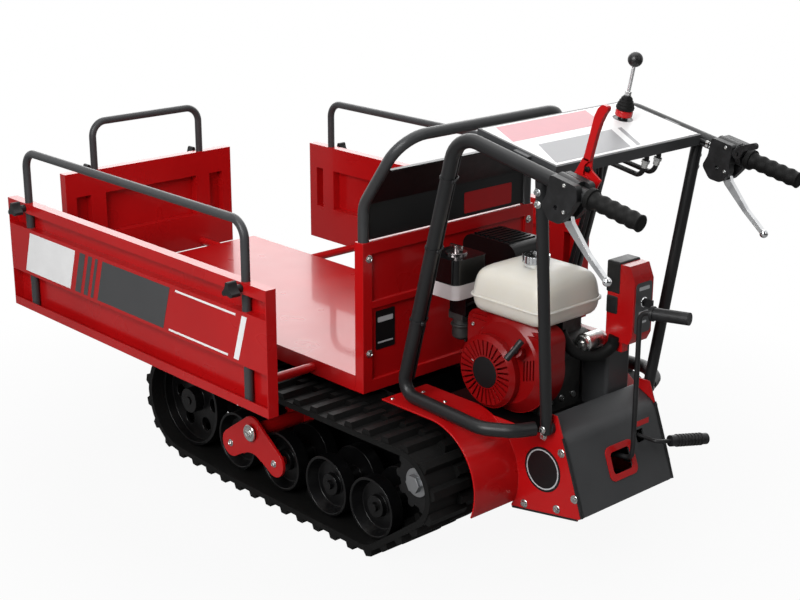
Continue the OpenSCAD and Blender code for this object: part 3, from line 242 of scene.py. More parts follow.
def makeCharcoal(name="charcoal_powder_coat", share=1.0):
    material, shader, coords = newFinish(name, charcoal["fixed"])
    grain = noise(coords, *charcoal["grain"])
    cloud = noise(coords, *charcoal["cloud"])
    speckle = grain * charcoal["grainShare"] + cloud * (1 - charcoal["grainShare"])
    deep, tone = (rgba(charcoal[k], share) for k in ("deep", "tone"))
    feed(shader, Base_Color=mixed(between(speckle, *charcoal["range"]), deep, tone),
        Roughness=charcoal["roughness"] + cloud * charcoal["spread"],
        Normal=bumped(coords, grain, *charcoal["bump"]))
    return material


# Black enamel on the running gear, with dust low down
blackPaint = {
    "tone": (0.0024, 0.0024, 0.0026), "dust": (0.022, 0.020, 0.017), "fixed": {"IOR": 1.34},
    "cloud": (40, 4), "dustRange": (0.5, 0.75), "dustTop": 0.16, "dustShare": 0.25, "dustDulls": 0.5,
    "roughness": 0.24, "spread": 0.14, "grain": (500, 1), "bump": (0.06, 0.0003),
}


def makeBlack():
    material, shader, coords = newFinish("black_enamel", blackPaint["fixed"])
    cloud = noise(coords, *blackPaint["cloud"])
    low = between(partOf(coords, "Z"), blackPaint["dustTop"], 0.0)
    low = low * between(cloud, *blackPaint["dustRange"]) * blackPaint["dustShare"]
    feed(shader, Base_Color=mixed(low, rgba(blackPaint["tone"]), rgba(blackPaint["dust"])),
        Roughness=blackPaint["roughness"] + cloud * blackPaint["spread"] + low * blackPaint["dustDulls"],
        Normal=bumped(coords, noise(coords, *blackPaint["grain"]), *blackPaint["bump"]))
    return material


# Track rubber: moulded grain and pale scuffs
trackRubber = {
    "tone": (0.0022, 0.0022, 0.0021), "scuff": (0.018, 0.017, 0.016), "fixed": {"IOR": 1.28},
    "mottle": (55, 5, 0.65), "streak": (18, 160, 18), "rubbed": (3, 4), "rubbedRange": (0.58, 0.78),
    "scuffs": 0.35, "roughness": 0.46, "spread": 0.25, "grain": (420, 3), "mottleLift": 0.6,
    "bump": (0.22, 0.0006), "gripScuffs": 0.12, "gripRoughness": 0.52,
}


def makeRubber(name="track_rubber", scuffs=trackRubber["scuffs"], roughness=trackRubber["roughness"]):
    material, shader, coords = newFinish(name, trackRubber["fixed"])
    mottle = noise(coords, *trackRubber["mottle"])
    streak = coords.node("ShaderNodeMapping", {}, {"Vector": coords, "Scale": trackRubber["streak"]})
    rubbed = between(noise(streak, *trackRubber["rubbed"]), *trackRubber["rubbedRange"]) * scuffs
    grain = noise(coords, *trackRubber["grain"]) + mottle * trackRubber["mottleLift"]
    feed(shader, Base_Color=mixed(rubbed, rgba(trackRubber["tone"]), rgba(trackRubber["scuff"])),
        Roughness=roughness + mottle * trackRubber["spread"],
        Normal=bumped(coords, grain, *trackRubber["bump"]))
    return material


# Black plastic with a spark-eroded grain
blackPlastic = {
    "tone": (0.0062, 0.0062, 0.0066), "grey": (0.012, 0.012, 0.013), "fixed": {"IOR": 1.42},
    "grain": 900, "cloud": (60, 3), "cloudRange": (0.4, 0.7), "roughness": 0.38, "spread": 0.15,
    "bump": (0.12, 0.0003),
}


def makePlastic():
    material, shader, coords = newFinish("black_plastic", blackPlastic["fixed"])
    grain = coords.node("ShaderNodeTexVoronoi", {}, {"Vector": coords, "Scale": blackPlastic["grain"]})
    cloud = noise(coords, *blackPlastic["cloud"])
    greyed = between(cloud, *blackPlastic["cloudRange"])
    feed(shader, Base_Color=mixed(greyed, rgba(blackPlastic["tone"]), rgba(blackPlastic["grey"])),
        Roughness=blackPlastic["roughness"] + cloud * blackPlastic["spread"],
        Normal=bumped(coords, grain, *blackPlastic["bump"]))
    return material


# Bright chrome with faint finger marks, and the zinc plated steel of the fasteners
chrome = {
    "tone": (0.80, 0.81, 0.82), "dull": (0.62, 0.63, 0.65), "roughness": 0.07, "fixed": {"Metallic": 1.0},
    "marks": (40, 2), "marksRange": (0.45, 0.7), "spread": 0.08, "grain": (120, 0), "bump": (0.02, 0.0003),
}
zinc = {"tone": (0.66, 0.66, 0.64), "dull": (0.42, 0.43, 0.44), "roughness": 0.26}


def makeChrome(name="chrome", metal=chrome):
    material, shader, coords = newFinish(name, chrome["fixed"])
    marks = between(noise(coords, *chrome["marks"]), *chrome["marksRange"])
    feed(shader, Base_Color=mixed(marks, rgba(metal["tone"]), rgba(metal["dull"])),
        Roughness=metal["roughness"] + marks * chrome["spread"],
        Normal=bumped(coords, noise(coords, *chrome["grain"]), *chrome["bump"]))
    return material


# Blow moulded fuel tank, milky, a little darker towards its foot
tankPlastic = {
    "tone": (0.61, 0.585, 0.53), "low": (0.55, 0.52, 0.46),
    "fixed": {"IOR": 1.45, "Subsurface Weight": 0.6, "Subsurface Radius": (0.040, 0.036, 0.030),
        "Subsurface Scale": 1.0},
    "cloud": (24, 3), "heightShare": 0.75, "cloudShare": 0.35, "roughness": 0.26, "spread": 0.1,
    "grain": (320, 2), "bump": (0.05, 0.0004),
}


def makeTank():
    material, shader, coords = newFinish("milky_tank", tankPlastic["fixed"])
    low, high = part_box("fuel_tank")
    height = between(partOf(coords, "Z"), low.z, high.z)
    cloud = noise(coords, *tankPlastic["cloud"])
    pale = height * tankPlastic["heightShare"] + cloud * tankPlastic["cloudShare"]
    feed(shader, Base_Color=mixed(pale, rgba(tankPlastic["low"]), rgba(tankPlastic["tone"])),
        Roughness=tankPlastic["roughness"] + cloud * tankPlastic["spread"],
        Normal=bumped(coords, noise(coords, *tankPlastic["grain"]), *tankPlastic["bump"]))
    return material


# Sand cast alloy of the engine and the valve
castAlloy = {
    "tone": (0.36, 0.36, 0.35), "dark": (0.10, 0.10, 0.10), "fixed": {"Metallic": 0.75},
    "sand": (650, 3), "stain": (18, 5), "stainRange": (0.42, 0.72), "roughness": 0.44, "spread": 0.25,
    "bump": (0.35, 0.0006), "darkShare": 0.22,
}


def makeCast(name="cast_alloy", share=1.0):
    material, shader, coords = newFinish(name, castAlloy["fixed"])
    sand = noise(coords, *castAlloy["sand"])
    stain = between(noise(coords, *castAlloy["stain"]), *castAlloy["stainRange"])
    feed(shader, Base_Color=mixed(stain, rgba(castAlloy["tone"], share), rgba(castAlloy["dark"], share)),
        Roughness=castAlloy["roughness"] + sand * castAlloy["spread"],
        Normal=bumped(coords, sand, *castAlloy["bump"]))
    return material


# Printed vinyl for the colour blocks
vinylTones = {
    "white": (0.80, 0.80, 0.80), "grey": (0.055, 0.056, 0.058), "signRed": (0.42, 0.008, 0.010),
    # the console sheet's pale red and pale grey are its red and grey print, lightened by a painted reflection
    "dark": (0.006, 0.006, 0.0065), "pale": (0.42, 0.43, 0.44), "redPrintWithPaintedReflection": (0.58, 0.26, 0.29),
    "greyPrintWithPaintedReflection": (0.30, 0.30, 0.31),
}
vinyl = {
    "fixed": {"IOR": 1.38}, "dots": (1500, 1), "cloud": (20, 3), "cloudRange": (0.3, 0.7), "faded": 0.93,
    "roughness": 0.34, "spread": 0.1, "bump": (0.03, 0.0002),
}


def makeVinyl(name, tone):
    material, shader, coords = newFinish("vinyl_" + name, vinyl["fixed"])
    screenDots = noise(coords, *vinyl["dots"])
    cloud = noise(coords, *vinyl["cloud"])
    fresh = between(cloud, *vinyl["cloudRange"])
    feed(shader, Base_Color=mixed(fresh, rgba(tone, vinyl["faded"]), rgba(tone)),
        Roughness=vinyl["roughness"] + cloud * vinyl["spread"],
        Normal=bumped(coords, screenDots, *vinyl["bump"]))
    return material


# Two finishes on one moulding, split by a mask
twoTone = {
    "cloud": (45, 3), "lowLift": 1.35, "highDrop": 0.88, "roughness": 0.30, "spread": 0.16,
    "grainDetail": 2, "bump": (0.10, 0.0003),
}


def makeSplit(name, recipe, low, high, mask):
    material, shader, coords = newFinish(name, recipe["fixed"])
    cloud = noise(coords, *twoTone["cloud"])
    split = mask(coords)
    lowTone = mixed(cloud, rgba(low), rgba(low, twoTone["lowLift"]))
    highTone = mixed(cloud, rgba(high, twoTone["highDrop"]), rgba(high))
    feed(shader, Base_Color=mixed(split, lowTone, highTone),
        Roughness=recipe.get("roughness", twoTone["roughness"]) + cloud * twoTone["spread"],
        Normal=bumped(coords, noise(coords, recipe["grain"], twoTone["grainDetail"]), *twoTone["bump"]))
    return material, shader, split


# Air cleaner: a pale band round a black case, and a bright disc with its wing nut
cleaner = {
    "black": (0.0026, 0.0026, 0.0028), "band": (0.52, 0.47, 0.47), "bandLow": 566, "bandHigh": 599.5,
    "discLow": 655.4, "roughness": 0.10, "grain": 300, "fixed": {"IOR": 1.40},
}


def makeCleaner():
    def pale(coords):
        height = partOf(coords, "Z")
        band = (height > cleaner["bandLow"] * mm) * (height < cleaner["bandHigh"] * mm)
        return band + (height > cleaner["discLow"] * mm)
    material, shader = makeSplit("air_cleaner_shell", cleaner, cleaner["black"], cleaner["band"], pale)[:2]
    coords = Wire(material.node_tree.nodes["Texture Coordinate"].outputs["Object"])
    feed(shader, Metallic=partOf(coords, "Z") > cleaner["discLow"] * mm)
    return material


# Black sprocket with a bright shaft nut
sprocketPaint = {"nutFace": 325.5, "grain": 500, "fixed": {"IOR": 1.40}}


def makeSprocket():
    def nut(coords):
        return abs(partOf(coords, "Y")) > sprocketPaint["nutFace"] * mm
    wheel, bright = blackPaint["tone"], zinc["dull"]
    material, shader, split = makeSplit("sprocket_paint", sprocketPaint, wheel, bright, nut)
    feed(shader, Metallic=split)
    return material


# Guard: dark sheet between the bends of a paler tube
guardPaint = {
    "tube": (0.030, 0.031, 0.032), "plate": (0.0095, 0.0095, 0.0100), "half": 246.5, "top": 852.5,
    "grain": 1300, "fixed": {"IOR": 1.38},
}


def makeGuard():
    def sheet(coords):
        across = abs(partOf(coords, "Y")) < guardPaint["half"] * mm
        return across * (partOf(coords, "Z") < guardPaint["top"] * mm)
    return makeSplit("guard_coat", guardPaint, guardPaint["tube"], guardPaint["plate"], sheet)[0]


# Hydraulic lever: bright rod between a black boot and a black ball, measured up from the console
leverRod = {"boot": 52.5, "ball": 115.8, "grain": 900, "fixed": {"IOR": 1.47}}


def makeLeverRod():
    foot = onConsole(*consoleFace["lever"])

    def rod(coords):
        along = alongAxis(coords, tuple(slopeUp)) - foot.dot(slopeUp)
        return (along > leverRod["boot"] * mm) * (along < leverRod["ball"] * mm)
    material, shader, split = makeSplit("lever_rod", leverRod, blackPlastic["tone"], chrome["tone"], rod)
    feed(shader, Metallic=split)
    return material


finishes = {
    "red": makeRed(),
    "charcoal": makeCharcoal(),
    "engineRed": makeRed("engine_enamel", redPaint["engineShare"], redPaint["engineCoat"]),
    "tubeCoat": makeCharcoal("tube_coat", charcoal["tubeShare"]),
    "guardCoat": makeGuard(),
    "black": makeBlack(),
    "rubber": makeRubber(),
    "gripRubber": makeRubber("grip_rubber", trackRubber["gripScuffs"], trackRubber["gripRoughness"]),
    "plastic": makePlastic(),
    "chrome": makeChrome(),
    "zinc": makeChrome("zinc_plate", zinc),
    "tank": makeTank(),
    "cast": makeCast(),
    "darkCast": makeCast("dark_cast_alloy", castAlloy["darkShare"]),
    "cleaner": makeCleaner(),
    "sprocket": makeSprocket(),
    "leverRod": makeLeverRod(),
    **{name: makeVinyl(name, tone) for name, tone in vinylTones.items()},
}
print("finishes made:", len(finishes))

# Finish and edge rounding, in millimetres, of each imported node
nodeFinish = {
    "red": (1.2, ["fenders", "bed_frame", "headboard", "front_panel", "clutch_lever", "starter_box",
        *(hand + part for hand in hands for part in ("_panel", "_bogie"))]),
    "engineRed": (1.2, ["fan_shroud", "recoil_cover"]),
    "charcoal": (1.2, ["rear_cover", "console", "hydraulic_tank", "belt_cover", "left_hoop", "right_hoop",
        "front_hoop"]),
    "tubeCoat": (1.2, ["handle_tubes", "rear_posts"]),
    "guardCoat": (1.0, ["guard"]),
    "black": (1.5, ["chassis_frame", "muffler", "ram_barrel", *(hand + "_idler" for hand in hands),
        *(hand + "_roller_" + str(i) for hand in hands for i in range(1, 5))]),
    "sprocket": (1.2, ["left_sprocket", "right_sprocket"]),
    "rubber": (2.0, ["left_track", "right_track"]),
    "gripRubber": (0.8, ["grips"]),
    "plastic": (1.0, ["lever_perches", "left_knobs", "right_knobs", "front_knobs", "throttle_lever",
        "gear_lever", "range_lever", "recoil_handle", "starter_key", "control_cables"]),
    "cleaner": (1.5, ["air_cleaner"]),
    "chrome": (1.5, ["left_steer_lever", "right_steer_lever", "ram_rod", "fuel_cap"]),
    "leverRod": (0.8, ["hydraulic_lever"]),
    "tank": (2.0, ["fuel_tank"]),
    "darkCast": (1.2, ["engine_block", "gearbox"]),
    "cast": (1.2, ["valve_block"]),
}

# Turns in degrees, weld and merge in metres
edgeWork = {"flatTurn": 0.4, "turn": 32, "segments": 2, "shadeWeight": 60, "weld": 0.00002, "merge": 1e-6}


def roundEdges(obj, width, turn=edgeWork["turn"]):
    flat = obj.modifiers.new("flats", "DECIMATE")
    flat.decimate_type = "DISSOLVE"
    flat.angle_limit = math.radians(edgeWork["flatTurn"])
    bevel = obj.modifiers.new("edges", "BEVEL")
    bevel.width = width * mm
    bevel.segments = edgeWork["segments"]
    bevel.limit_method = "ANGLE"
    bevel.angle_limit = math.radians(turn)
    shade = obj.modifiers.new("shade", "WEIGHTED_NORMAL")
    shade.weight = edgeWork["shadeWeight"]


def dressNodes():
    for finish, (edge, names) in nodeFinish.items():
        for name in names:
            obj = nodes[name]
            obj.data.materials.clear()
            obj.data.materials.append(finishes[finish])
            weld = obj.modifiers.new("weld", "WELD")
            weld.merge_threshold = edgeWork["weld"]
            roundEdges(obj, edge)
    print("nodes dressed:", sum(len(names) for edge, names in nodeFinish.values()))


dressNodes()


# Mesh tools for the small pieces
def spread(axis):    # two ways square to an axis
    side = axis.cross(Vector((0, 0, 1)) if abs(axis.z) < 0.9 else Vector((1, 0, 0))).normalized()
    return side, axis.cross(side)


def turns(count):
    return [2 * math.pi * i / count for i in range(count)]


def skinOver(bm, rings, hollow=False):    # faces from ring to ring, with end caps unless hollow
    pairs = list(zip(rings, rings[1:]))
    if hollow:
        pairs.append((rings[-1], rings[0]))
    for low, high in pairs:
        for i in range(len(low)):
            bm.faces.new((low[i - 1], low[i], high[i], high[i - 1]))
    if not hollow:
        bm.faces.new(rings[0])
        bm.faces.new(rings[-1])


def lathe(bm, centre, axis, profile, sides=28, hollow=False):    # profile of (radius, height) pairs
    axis = Vector(axis).normalized()
    u, v = spread(axis)
    rings = []
    for radius, height in profile:
        middle = centre + axis * height * mm
        rings.append([bm.verts.new(middle + (u * math.cos(a) + v * math.sin(a)) * radius * mm)
            for a in turns(sides)])
    skinOver(bm, rings, hollow)


def block(bm, low, high):    # corners in millimetres, as for at()
    corners = [at(x, y, z) for x in (low[0], high[0]) for y in (low[1], high[1]) for z in (low[2], high[2])]
    verts = [bm.verts.new(c) for c in corners]
    for face in ((0, 1, 3, 2), (4, 6, 7, 5), (0, 4, 5, 1), (2, 3, 7, 6), (0, 2, 6, 4), (1, 5, 7, 3)):
        bm.faces.new([verts[i] for i in face])


def placeOn(origin, xAxis, yAxis):
    x, y = Vector(xAxis).normalized(), Vector(yAxis).normalized()
    turn = Matrix((x, y, x.cross(y))).transposed().to_4x4()
    return Matrix.Translation(origin) @ turn


def facingRear(x, y, z):    # upright plane, depth towards the rear
    return placeOn(at(x, y, z), (0, -1, 0), (0, 0, 1))


def alongSide(y):    # upright plane from front to rear, depth towards -Y
    return placeOn(at(0, y, 0), (1, 0, 0), (0, 0, 1))


def slab(bm, loops, depth, place, paint=0):    # flat outlines in millimetres, inner loops cut holes
    data = bpy.data.curves.new("outline", "CURVE")
    data.dimensions = "2D"
    data.fill_mode = "BOTH"
    data.extrude = depth * mm / 2
    for loop in loops:
        spline = data.splines.new("POLY")
        spline.points.add(len(loop) - 1)
        spline.use_cyclic_u = True
        for point, (x, y) in zip(spline.points, loop):
            point.co = (x * mm, y * mm, 0, 1)
    helper = bpy.data.objects.new("outline", data)
    bpy.context.scene.collection.objects.link(helper)
    mesh = bpy.data.meshes.new_from_object(helper.evaluated_get(bpy.context.evaluated_depsgraph_get()))
    bpy.data.objects.remove(helper)
    bpy.data.curves.remove(data)
    mesh.transform(place @ Matrix.Translation((0, 0, depth * mm / 2)))
    mesh.polygons.foreach_set("material_index", [paint] * len(mesh.polygons))
    bm.from_mesh(mesh)
    bpy.data.meshes.remove(mesh)


def roundRect(width, height, radius, middle=(0, 0), steps=6):
    points = []
    for corner, (sx, sy) in enumerate(((1, 1), (-1, 1), (-1, -1), (1, -1))):
        for i in range(steps + 1):
            a = math.pi / 2 * (corner + i / steps)
            points.append((middle[0] + sx * (width / 2 - radius) + radius * math.cos(a),
                middle[1] + sy * (height / 2 - radius) + radius * math.sin(a)))
    return points


def circle(radius, middle=(0, 0), steps=48):
    return [(middle[0] + radius * math.cos(a), middle[1] + radius * math.sin(a)) for a in turns(steps)]


def leaning(left, right, low, high, lean):    # block whose ends lean over
    return [(left, low), (right, low), (right + lean, high), (left + lean, high)]


def strapLoop(radiusA, radiusB, reach, steps=16):    # outline round two circles, the second at +reach
    tilt = math.acos((radiusA - radiusB) / reach)
    wide = [(radiusA * math.cos(a), radiusA * math.sin(a))
        for a in (tilt + (2 * math.pi - 2 * tilt) * i / steps for i in range(steps + 1))]
    slim = [(reach + radiusB * math.cos(a), radiusB * math.sin(a))
        for a in (-tilt + 2 * tilt * i / steps for i in range(steps + 1))]
    return wide + slim


def bend(before, corner, after, reach, steps=10):    # short curve in place of a corner
    a, b, c = (Vector(p) for p in (before, corner, after))
    start, end = b + (a - b).normalized() * reach, b + (c - b).normalized() * reach
    shares = [i / steps for i in range(steps + 1)]
    return [start * (1 - t) ** 2 + b * 2 * t * (1 - t) + end * t * t for t in shares]


def softCorners(points, reach, steps=5):    # outline whose corners are short curves
    corners = zip(points[-1:] + points[:-1], points, points[1:] + points[:1])
    return [tuple(p) for corner in corners for p in bend(*corner, reach, steps)]


def smoothLine(points, steps):    # curve that passes through all its points
    ends = [points[0] * 2 - points[1], *points, points[-1] * 2 - points[-2]]
    line = []
    for a, b, c, d in zip(ends, ends[1:], ends[2:], ends[3:]):
        for i in range(steps):
            t = i / steps
            line.append(0.5 * (2 * b + (c - a) * t + (2 * a - 5 * b + 4 * c - d) * t * t
                + (3 * b - a - 3 * c + d) * t ** 3))
    line.append(points[-1])
    return line


def runAt(line, i):    # the way a line runs at one of its points
    return (line[min(i + 1, len(line) - 1)] - line[max(i - 1, 0)]).normalized()


def tube(bm, points, radius, sides=10, steps=8):    # round bar along a smooth line through points
    line = smoothLine(points, steps)
    rings = []
    up = None
    for i, point in enumerate(line):
        run = runAt(line, i)
        up = spread(run)[0] if up is None else (up - run * up.dot(run)).normalized()
        across = run.cross(up)
        rings.append([bm.verts.new(point + (up * math.cos(a) + across * math.sin(a)) * radius * mm)
            for a in turns(sides)])
    skinOver(bm, rings)


# Fasteners: heads as (share of the head's radius, height), the washer as (change of its radius, height)
hexSides = 6
fastener = {
    "washer": [(0, -0.5), (0, 1.1), (-0.6, 1.6)], "washerBore": (0.4, 1.6), "washerSides": 24,
    "hexagon": [(1, 1.2), (1, 5.0), (0.84, 5.9), (0.6, 5.9), (0.5, 5.2)],
    "dome": [(1, -0.4), (1, 0.8), (0.82, 2.1), (0.5, 2.7), (0.42, 2.7), (0.40, 1.4)], "domeSides": 20,
}


def bolt(bm, point, axis, washer, head):    # washer, hexagon head and a dished top
    disc = [(washer + change, height) for change, height in fastener["washer"]]
    lathe(bm, point, axis, [*disc, fastener["washerBore"]], fastener["washerSides"])
    lathe(bm, point, axis, [(head * share, height) for share, height in fastener["hexagon"]], hexSides)


def screw(bm, point, axis, head):    # domed head with a socket
    dome = [(head * share, height) for share, height in fastener["dome"]]
    lathe(bm, point, axis, dome, fastener["domeSides"])


def piece(name, bm, body, finishNames, edge, turn=edgeWork["turn"]):    # edge 0 keeps corners sharp
    bmesh.ops.remove_doubles(bm, verts=bm.verts, dist=edgeWork["merge"])
    bmesh.ops.recalc_face_normals(bm, faces=bm.faces)
    mesh = bpy.data.meshes.new(name)
    bm.to_mesh(mesh)
    bm.free()
    for finish in finishNames:
        mesh.materials.append(finishes[finish])
    mesh.polygons.foreach_set("use_smooth", [True] * len(mesh.polygons))
    obj = bpy.data.objects.new(name, mesh)
    bpy.context.scene.collection.objects.link(obj)
    if edge:
        roundEdges(obj, edge, turn)
    else:
        mesh.set_sharp_from_angle(angle=math.radians(turn))
    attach(obj, body)
    return obj


# Colour blocks on the side panels' bands, from the front end: tall blocks, two thin rules and an end bar
bandArt = {
    "face": 521, "foot": 426, "height": 124, "length": 1092, "margin": 9, "depth": 0.5, "lean": 34,
    "tones": ["white", "grey"],
    "tall": [("white", 70, 290), ("grey", 312, 338), ("grey", 352, 370), ("grey", 384, 396),
        ("grey", 416, 700)],
    "rules": ("white", 722, 950), "ruleHeight": 5, "end": ("white", 972, 990),
}


def addBandArt():
    low, high = bandArt["margin"], bandArt["height"] - bandArt["margin"]
    rule = bandArt["ruleHeight"]
    blocks = [(*tall, low, high) for tall in bandArt["tall"]]
    blocks += [(*bandArt["rules"], high - rule, high), (*bandArt["rules"], low, low + rule)]
    blocks.append((*bandArt["end"], low, high))
    for name, side in hands.items():
        bm = bmesh.new()
        start = at(bandArt["length"] if side > 0 else 0, side * bandArt["face"], bandArt["foot"])
        place = placeOn(start, (-side, 0, 0), (0, 0, 1))
        for tone, left, right, foot, top in blocks:
            shift, lean = (bandArt["lean"] * rise / (high - low) for rise in (foot - low, top - foot))
            outline = leaning(left + shift, right + shift, foot, top, lean)
            if side < 0:
                outline = [(bandArt["length"] - x, y) for x, y in reversed(outline)]
            slab(bm, [outline], bandArt["depth"], place, bandArt["tones"].index(tone))
        piece(name + "_band_blocks", bm, name + "_panel", bandArt["tones"], edge=0)


addBandArt()


# Printed sheet on the console, with a red stripe and a grey block, and a round hole for the lever; its white,
# pale red and pale grey are the print lightened by a painted reflection
consoleArt = {
    "margin": 6, "depth": 0.6, "hole": 22, "inset": 8, "print": 0.3,
    "stripeFrom": 0.62, "stripeEnd": 60, "stripeGap": 6, "stripeLean": 26,
    "grey": (14, 100), "greyEnd": 10, "greyBar": (30, 42), "greyLean": 40,
    "screwIn": (6, 8), "screwHead": 3.4,
}


def addConsoleArt():
    bm = bmesh.new()
    margin = consoleArt["margin"]
    wide, deep = consoleFace["half"] - margin, consoleFace["length"] - margin
    place = placeOn(onConsole(0, 0), (0, -1, 0), slopeFront)
    edge = [(-wide, margin), (wide, margin), (wide, deep), (-wide, deep)]
    leverU, leverY = consoleFace["lever"]
    slab(bm, [edge, circle(consoleArt["hole"], (-leverY, leverU))], consoleArt["depth"], place)
    lift = place @ Matrix.Translation((0, 0, consoleArt["depth"] * mm))
    start = consoleArt["inset"] - wide
    stripe = leaning(start, consoleArt["stripeEnd"], deep * consoleArt["stripeFrom"],
        deep - consoleArt["stripeGap"], consoleArt["stripeLean"])
    slab(bm, [stripe], consoleArt["print"], lift, 1)
    for left, right in ((start, consoleArt["greyEnd"]), consoleArt["greyBar"]):
        grey = leaning(left, right, *consoleArt["grey"], consoleArt["greyLean"])
        slab(bm, [grey], consoleArt["print"], lift, 2)
    inX, inY = consoleArt["screwIn"]
    for x, y in ((inX - wide, margin + inY), (wide - inX, margin + inY), (wide - inX, deep - inY)):
        spot = lift @ Vector((x * mm, y * mm, 0))
        screw(bm, spot, -slopeUp, consoleArt["screwHead"])    # sunk, flat side out
    piece("console_sheet", bm, "chassis", ["white", "redPrintWithPaintedReflection", "greyPrintWithPaintedReflection"], edge=0)


addConsoleArt()


# Round badge place, gate rim and the bare plates
badges = {
    "fender": (-464, 253), "fenderFace": 153.8, "fenderRadius": 50, "fenderDepth": 0.6,
    "ring": (45, 42), "ringDepth": 0.9, "roundSteps": 64,
    "gate": (-548, -3, 255), "gateRun": (61, 0, 162), "rim": (90, 76, 15), "rimHole": (63, 48, 9),
    "rimDepth": 2.2,
    "stripUp": 54, "strip": (64, 112, 0, 11, 5), "sheet": 0.5,
    "guard": (-16.5, -128, 713), "guardPatch": (158, 50, 4),
    "headboard": (-21.2, 202, 467), "plate": (58, 92, 3), "plateDepth": 0.8,
    "marks": ((46, 12, 2, (0, 24)), (46, 4, 1, (0, -30))), "markDepth": 1.0,
    "recoil": (-290, 155.8, 424), "recoilDisc": [(35, -0.4), (35, 0.9), (33, 1.6), (30, 1.2), (29, 1.2)],
    "recoilSides": 56,
}


def addBadges():
    bm = bmesh.new()
    x, z = badges["fender"]
    steps = badges["roundSteps"]
    for side in hands.values():
        place = placeOn(at(x, side * badges["fenderFace"], z), (-side, 0, 0), (0, 0, 1))
        slab(bm, [circle(badges["fenderRadius"], steps=steps)], badges["fenderDepth"], place)
        slab(bm, [circle(radius, steps=steps) for radius in badges["ring"]], badges["ringDepth"], place, 1)
    piece("fender_badges", bm, "chassis", ["dark", "pale"], edge=0)

    bm = bmesh.new()
    gate = at(*badges["gate"])
    run = Vector(badges["gateRun"]).normalized()
    loops = [roundRect(*badges["rim"]), roundRect(*badges["rimHole"])]
    slab(bm, loops, badges["rimDepth"], placeOn(gate, (0, -1, 0), run))
    piece("gate_rim", bm, "chassis", ["red"], edge=0.7)

    bm = bmesh.new()
    strip = gate + run * badges["stripUp"] * mm
    slab(bm, [leaning(*badges["strip"])], badges["sheet"], placeOn(strip, (0, -1, 0), run))
    piece("range_strip", bm, "chassis", ["red"], edge=0)

    bm = bmesh.new()
    slab(bm, [roundRect(*badges["guardPatch"])], badges["sheet"], facingRear(*badges["guard"]))
    piece("guard_patch", bm, "bed", ["signRed"], edge=0)

    bm = bmesh.new()
    place = facingRear(*badges["headboard"])
    slab(bm, [roundRect(*badges["plate"])], badges["plateDepth"], place)
    for mark in badges["marks"]:
        slab(bm, [roundRect(*mark)], badges["markDepth"], place, 1)
    piece("headboard_plate", bm, "bed", ["dark", "pale"], edge=0)

    bm = bmesh.new()
    lathe(bm, at(*badges["recoil"]), (0, 1, 0), badges["recoilDisc"], badges["recoilSides"])
    piece("recoil_disc", bm, "chassis", ["dark"], edge=0)


addBadges()


# Bolts and screws, grouped by the body that carries them; sizes are (washer radius, head radius)
bolts = {
    "fender": [(-463, 329), (-514, 306), (-554, 215), (-507, 176), (-415, 157)],
    "fenderFace": 153.8, "fenderSize": (9.5, 6.6),
    "fenderScrews": [(-133, 239), (-136, 192), (-211, 197), (-208, 247), (-120, 270)],
    "fenderTop": 343, "screwHead": 4.6,
    "post": [(-514.4, 253.9, 880), (-512.9, 250.5, 855)], "postSize": (8.0, 6.0),
    "postFoot": (-482, 179.6, 356), "postFootSize": (8.5, 6.2),
    "headboard": [(-28, 256, 641), (-28, 256, 420)], "headboardSize": (9, 6.4),
    "bogie": [(202, 355, 105.5), (372, 355, 105.5)], "bogieSize": (9, 6),
    "pivot": (287, 361, 159.5), "pivotSize": (12, 9.5), "pivotLift": 3.2,
    "pivotDisc": [(21, -1), (21, 2.2), (19.6, 3.4), (10, 3.4)], "pivotSides": 40,
}


def addBolts():
    bm = bmesh.new()
    for side in hands.values():
        out = (0, side, 0)
        for x, z in bolts["fender"]:
            bolt(bm, at(x, side * bolts["fenderFace"], z), out, *bolts["fenderSize"])
        for x, y in bolts["fenderScrews"]:
            screw(bm, at(x, side * y, bolts["fenderTop"]), (0, 0, 1), bolts["screwHead"])
        for x, y, z in bolts["post"]:
            bolt(bm, at(x, side * y, z), out, *bolts["postSize"])
        x, y, z = bolts["postFoot"]
        bolt(bm, at(x, side * y, z), out, *bolts["postFootSize"])
    piece("frame_bolts", bm, "chassis", ["zinc"], edge=0)

    bm = bmesh.new()
    for side in hands.values():
        for x, y, z in bolts["headboard"]:
            bolt(bm, at(x, side * y, z), (-1, 0, 0), *bolts["headboardSize"])
    piece("headboard_bolts", bm, "bed", ["zinc"], edge=0)

    for name, side in hands.items():
        out = Vector((0, side, 0))
        bm = bmesh.new()
        for x, y, z in bolts["bogie"]:
            bolt(bm, at(x, side * y, z), out, *bolts["bogieSize"])
        piece(name + "_bogie_bolts", bm, name + "_bogie", ["zinc"], edge=0)
        bm = bmesh.new()
        x, y, z = bolts["pivot"]
        pivot = at(x, side * y, z)
        lathe(bm, pivot, out, bolts["pivotDisc"], bolts["pivotSides"])
        bolt(bm, pivot + out * bolts["pivotLift"] * mm, out, *bolts["pivotSize"])
        piece(name + "_pivot_bolt", bm, "chassis", ["zinc"], edge=0)


addBolts()
print("badges and bolts placed")


# Straps that hold the control cables to the handle legs
cableTies = {
    "legTop": -292, "legFoot": (-132, 358.4), "places": (0.16, 0.42, 0.7), "y": 252, "width": 5,
    "outer": (17.0, 9.4), "inner": (15.3, 7.7), "reach": 20,
    "buckle": [(3.4, -1), (4.2, 0), (4.2, 6), (3.0, 7)], "buckleSides": 8,
}


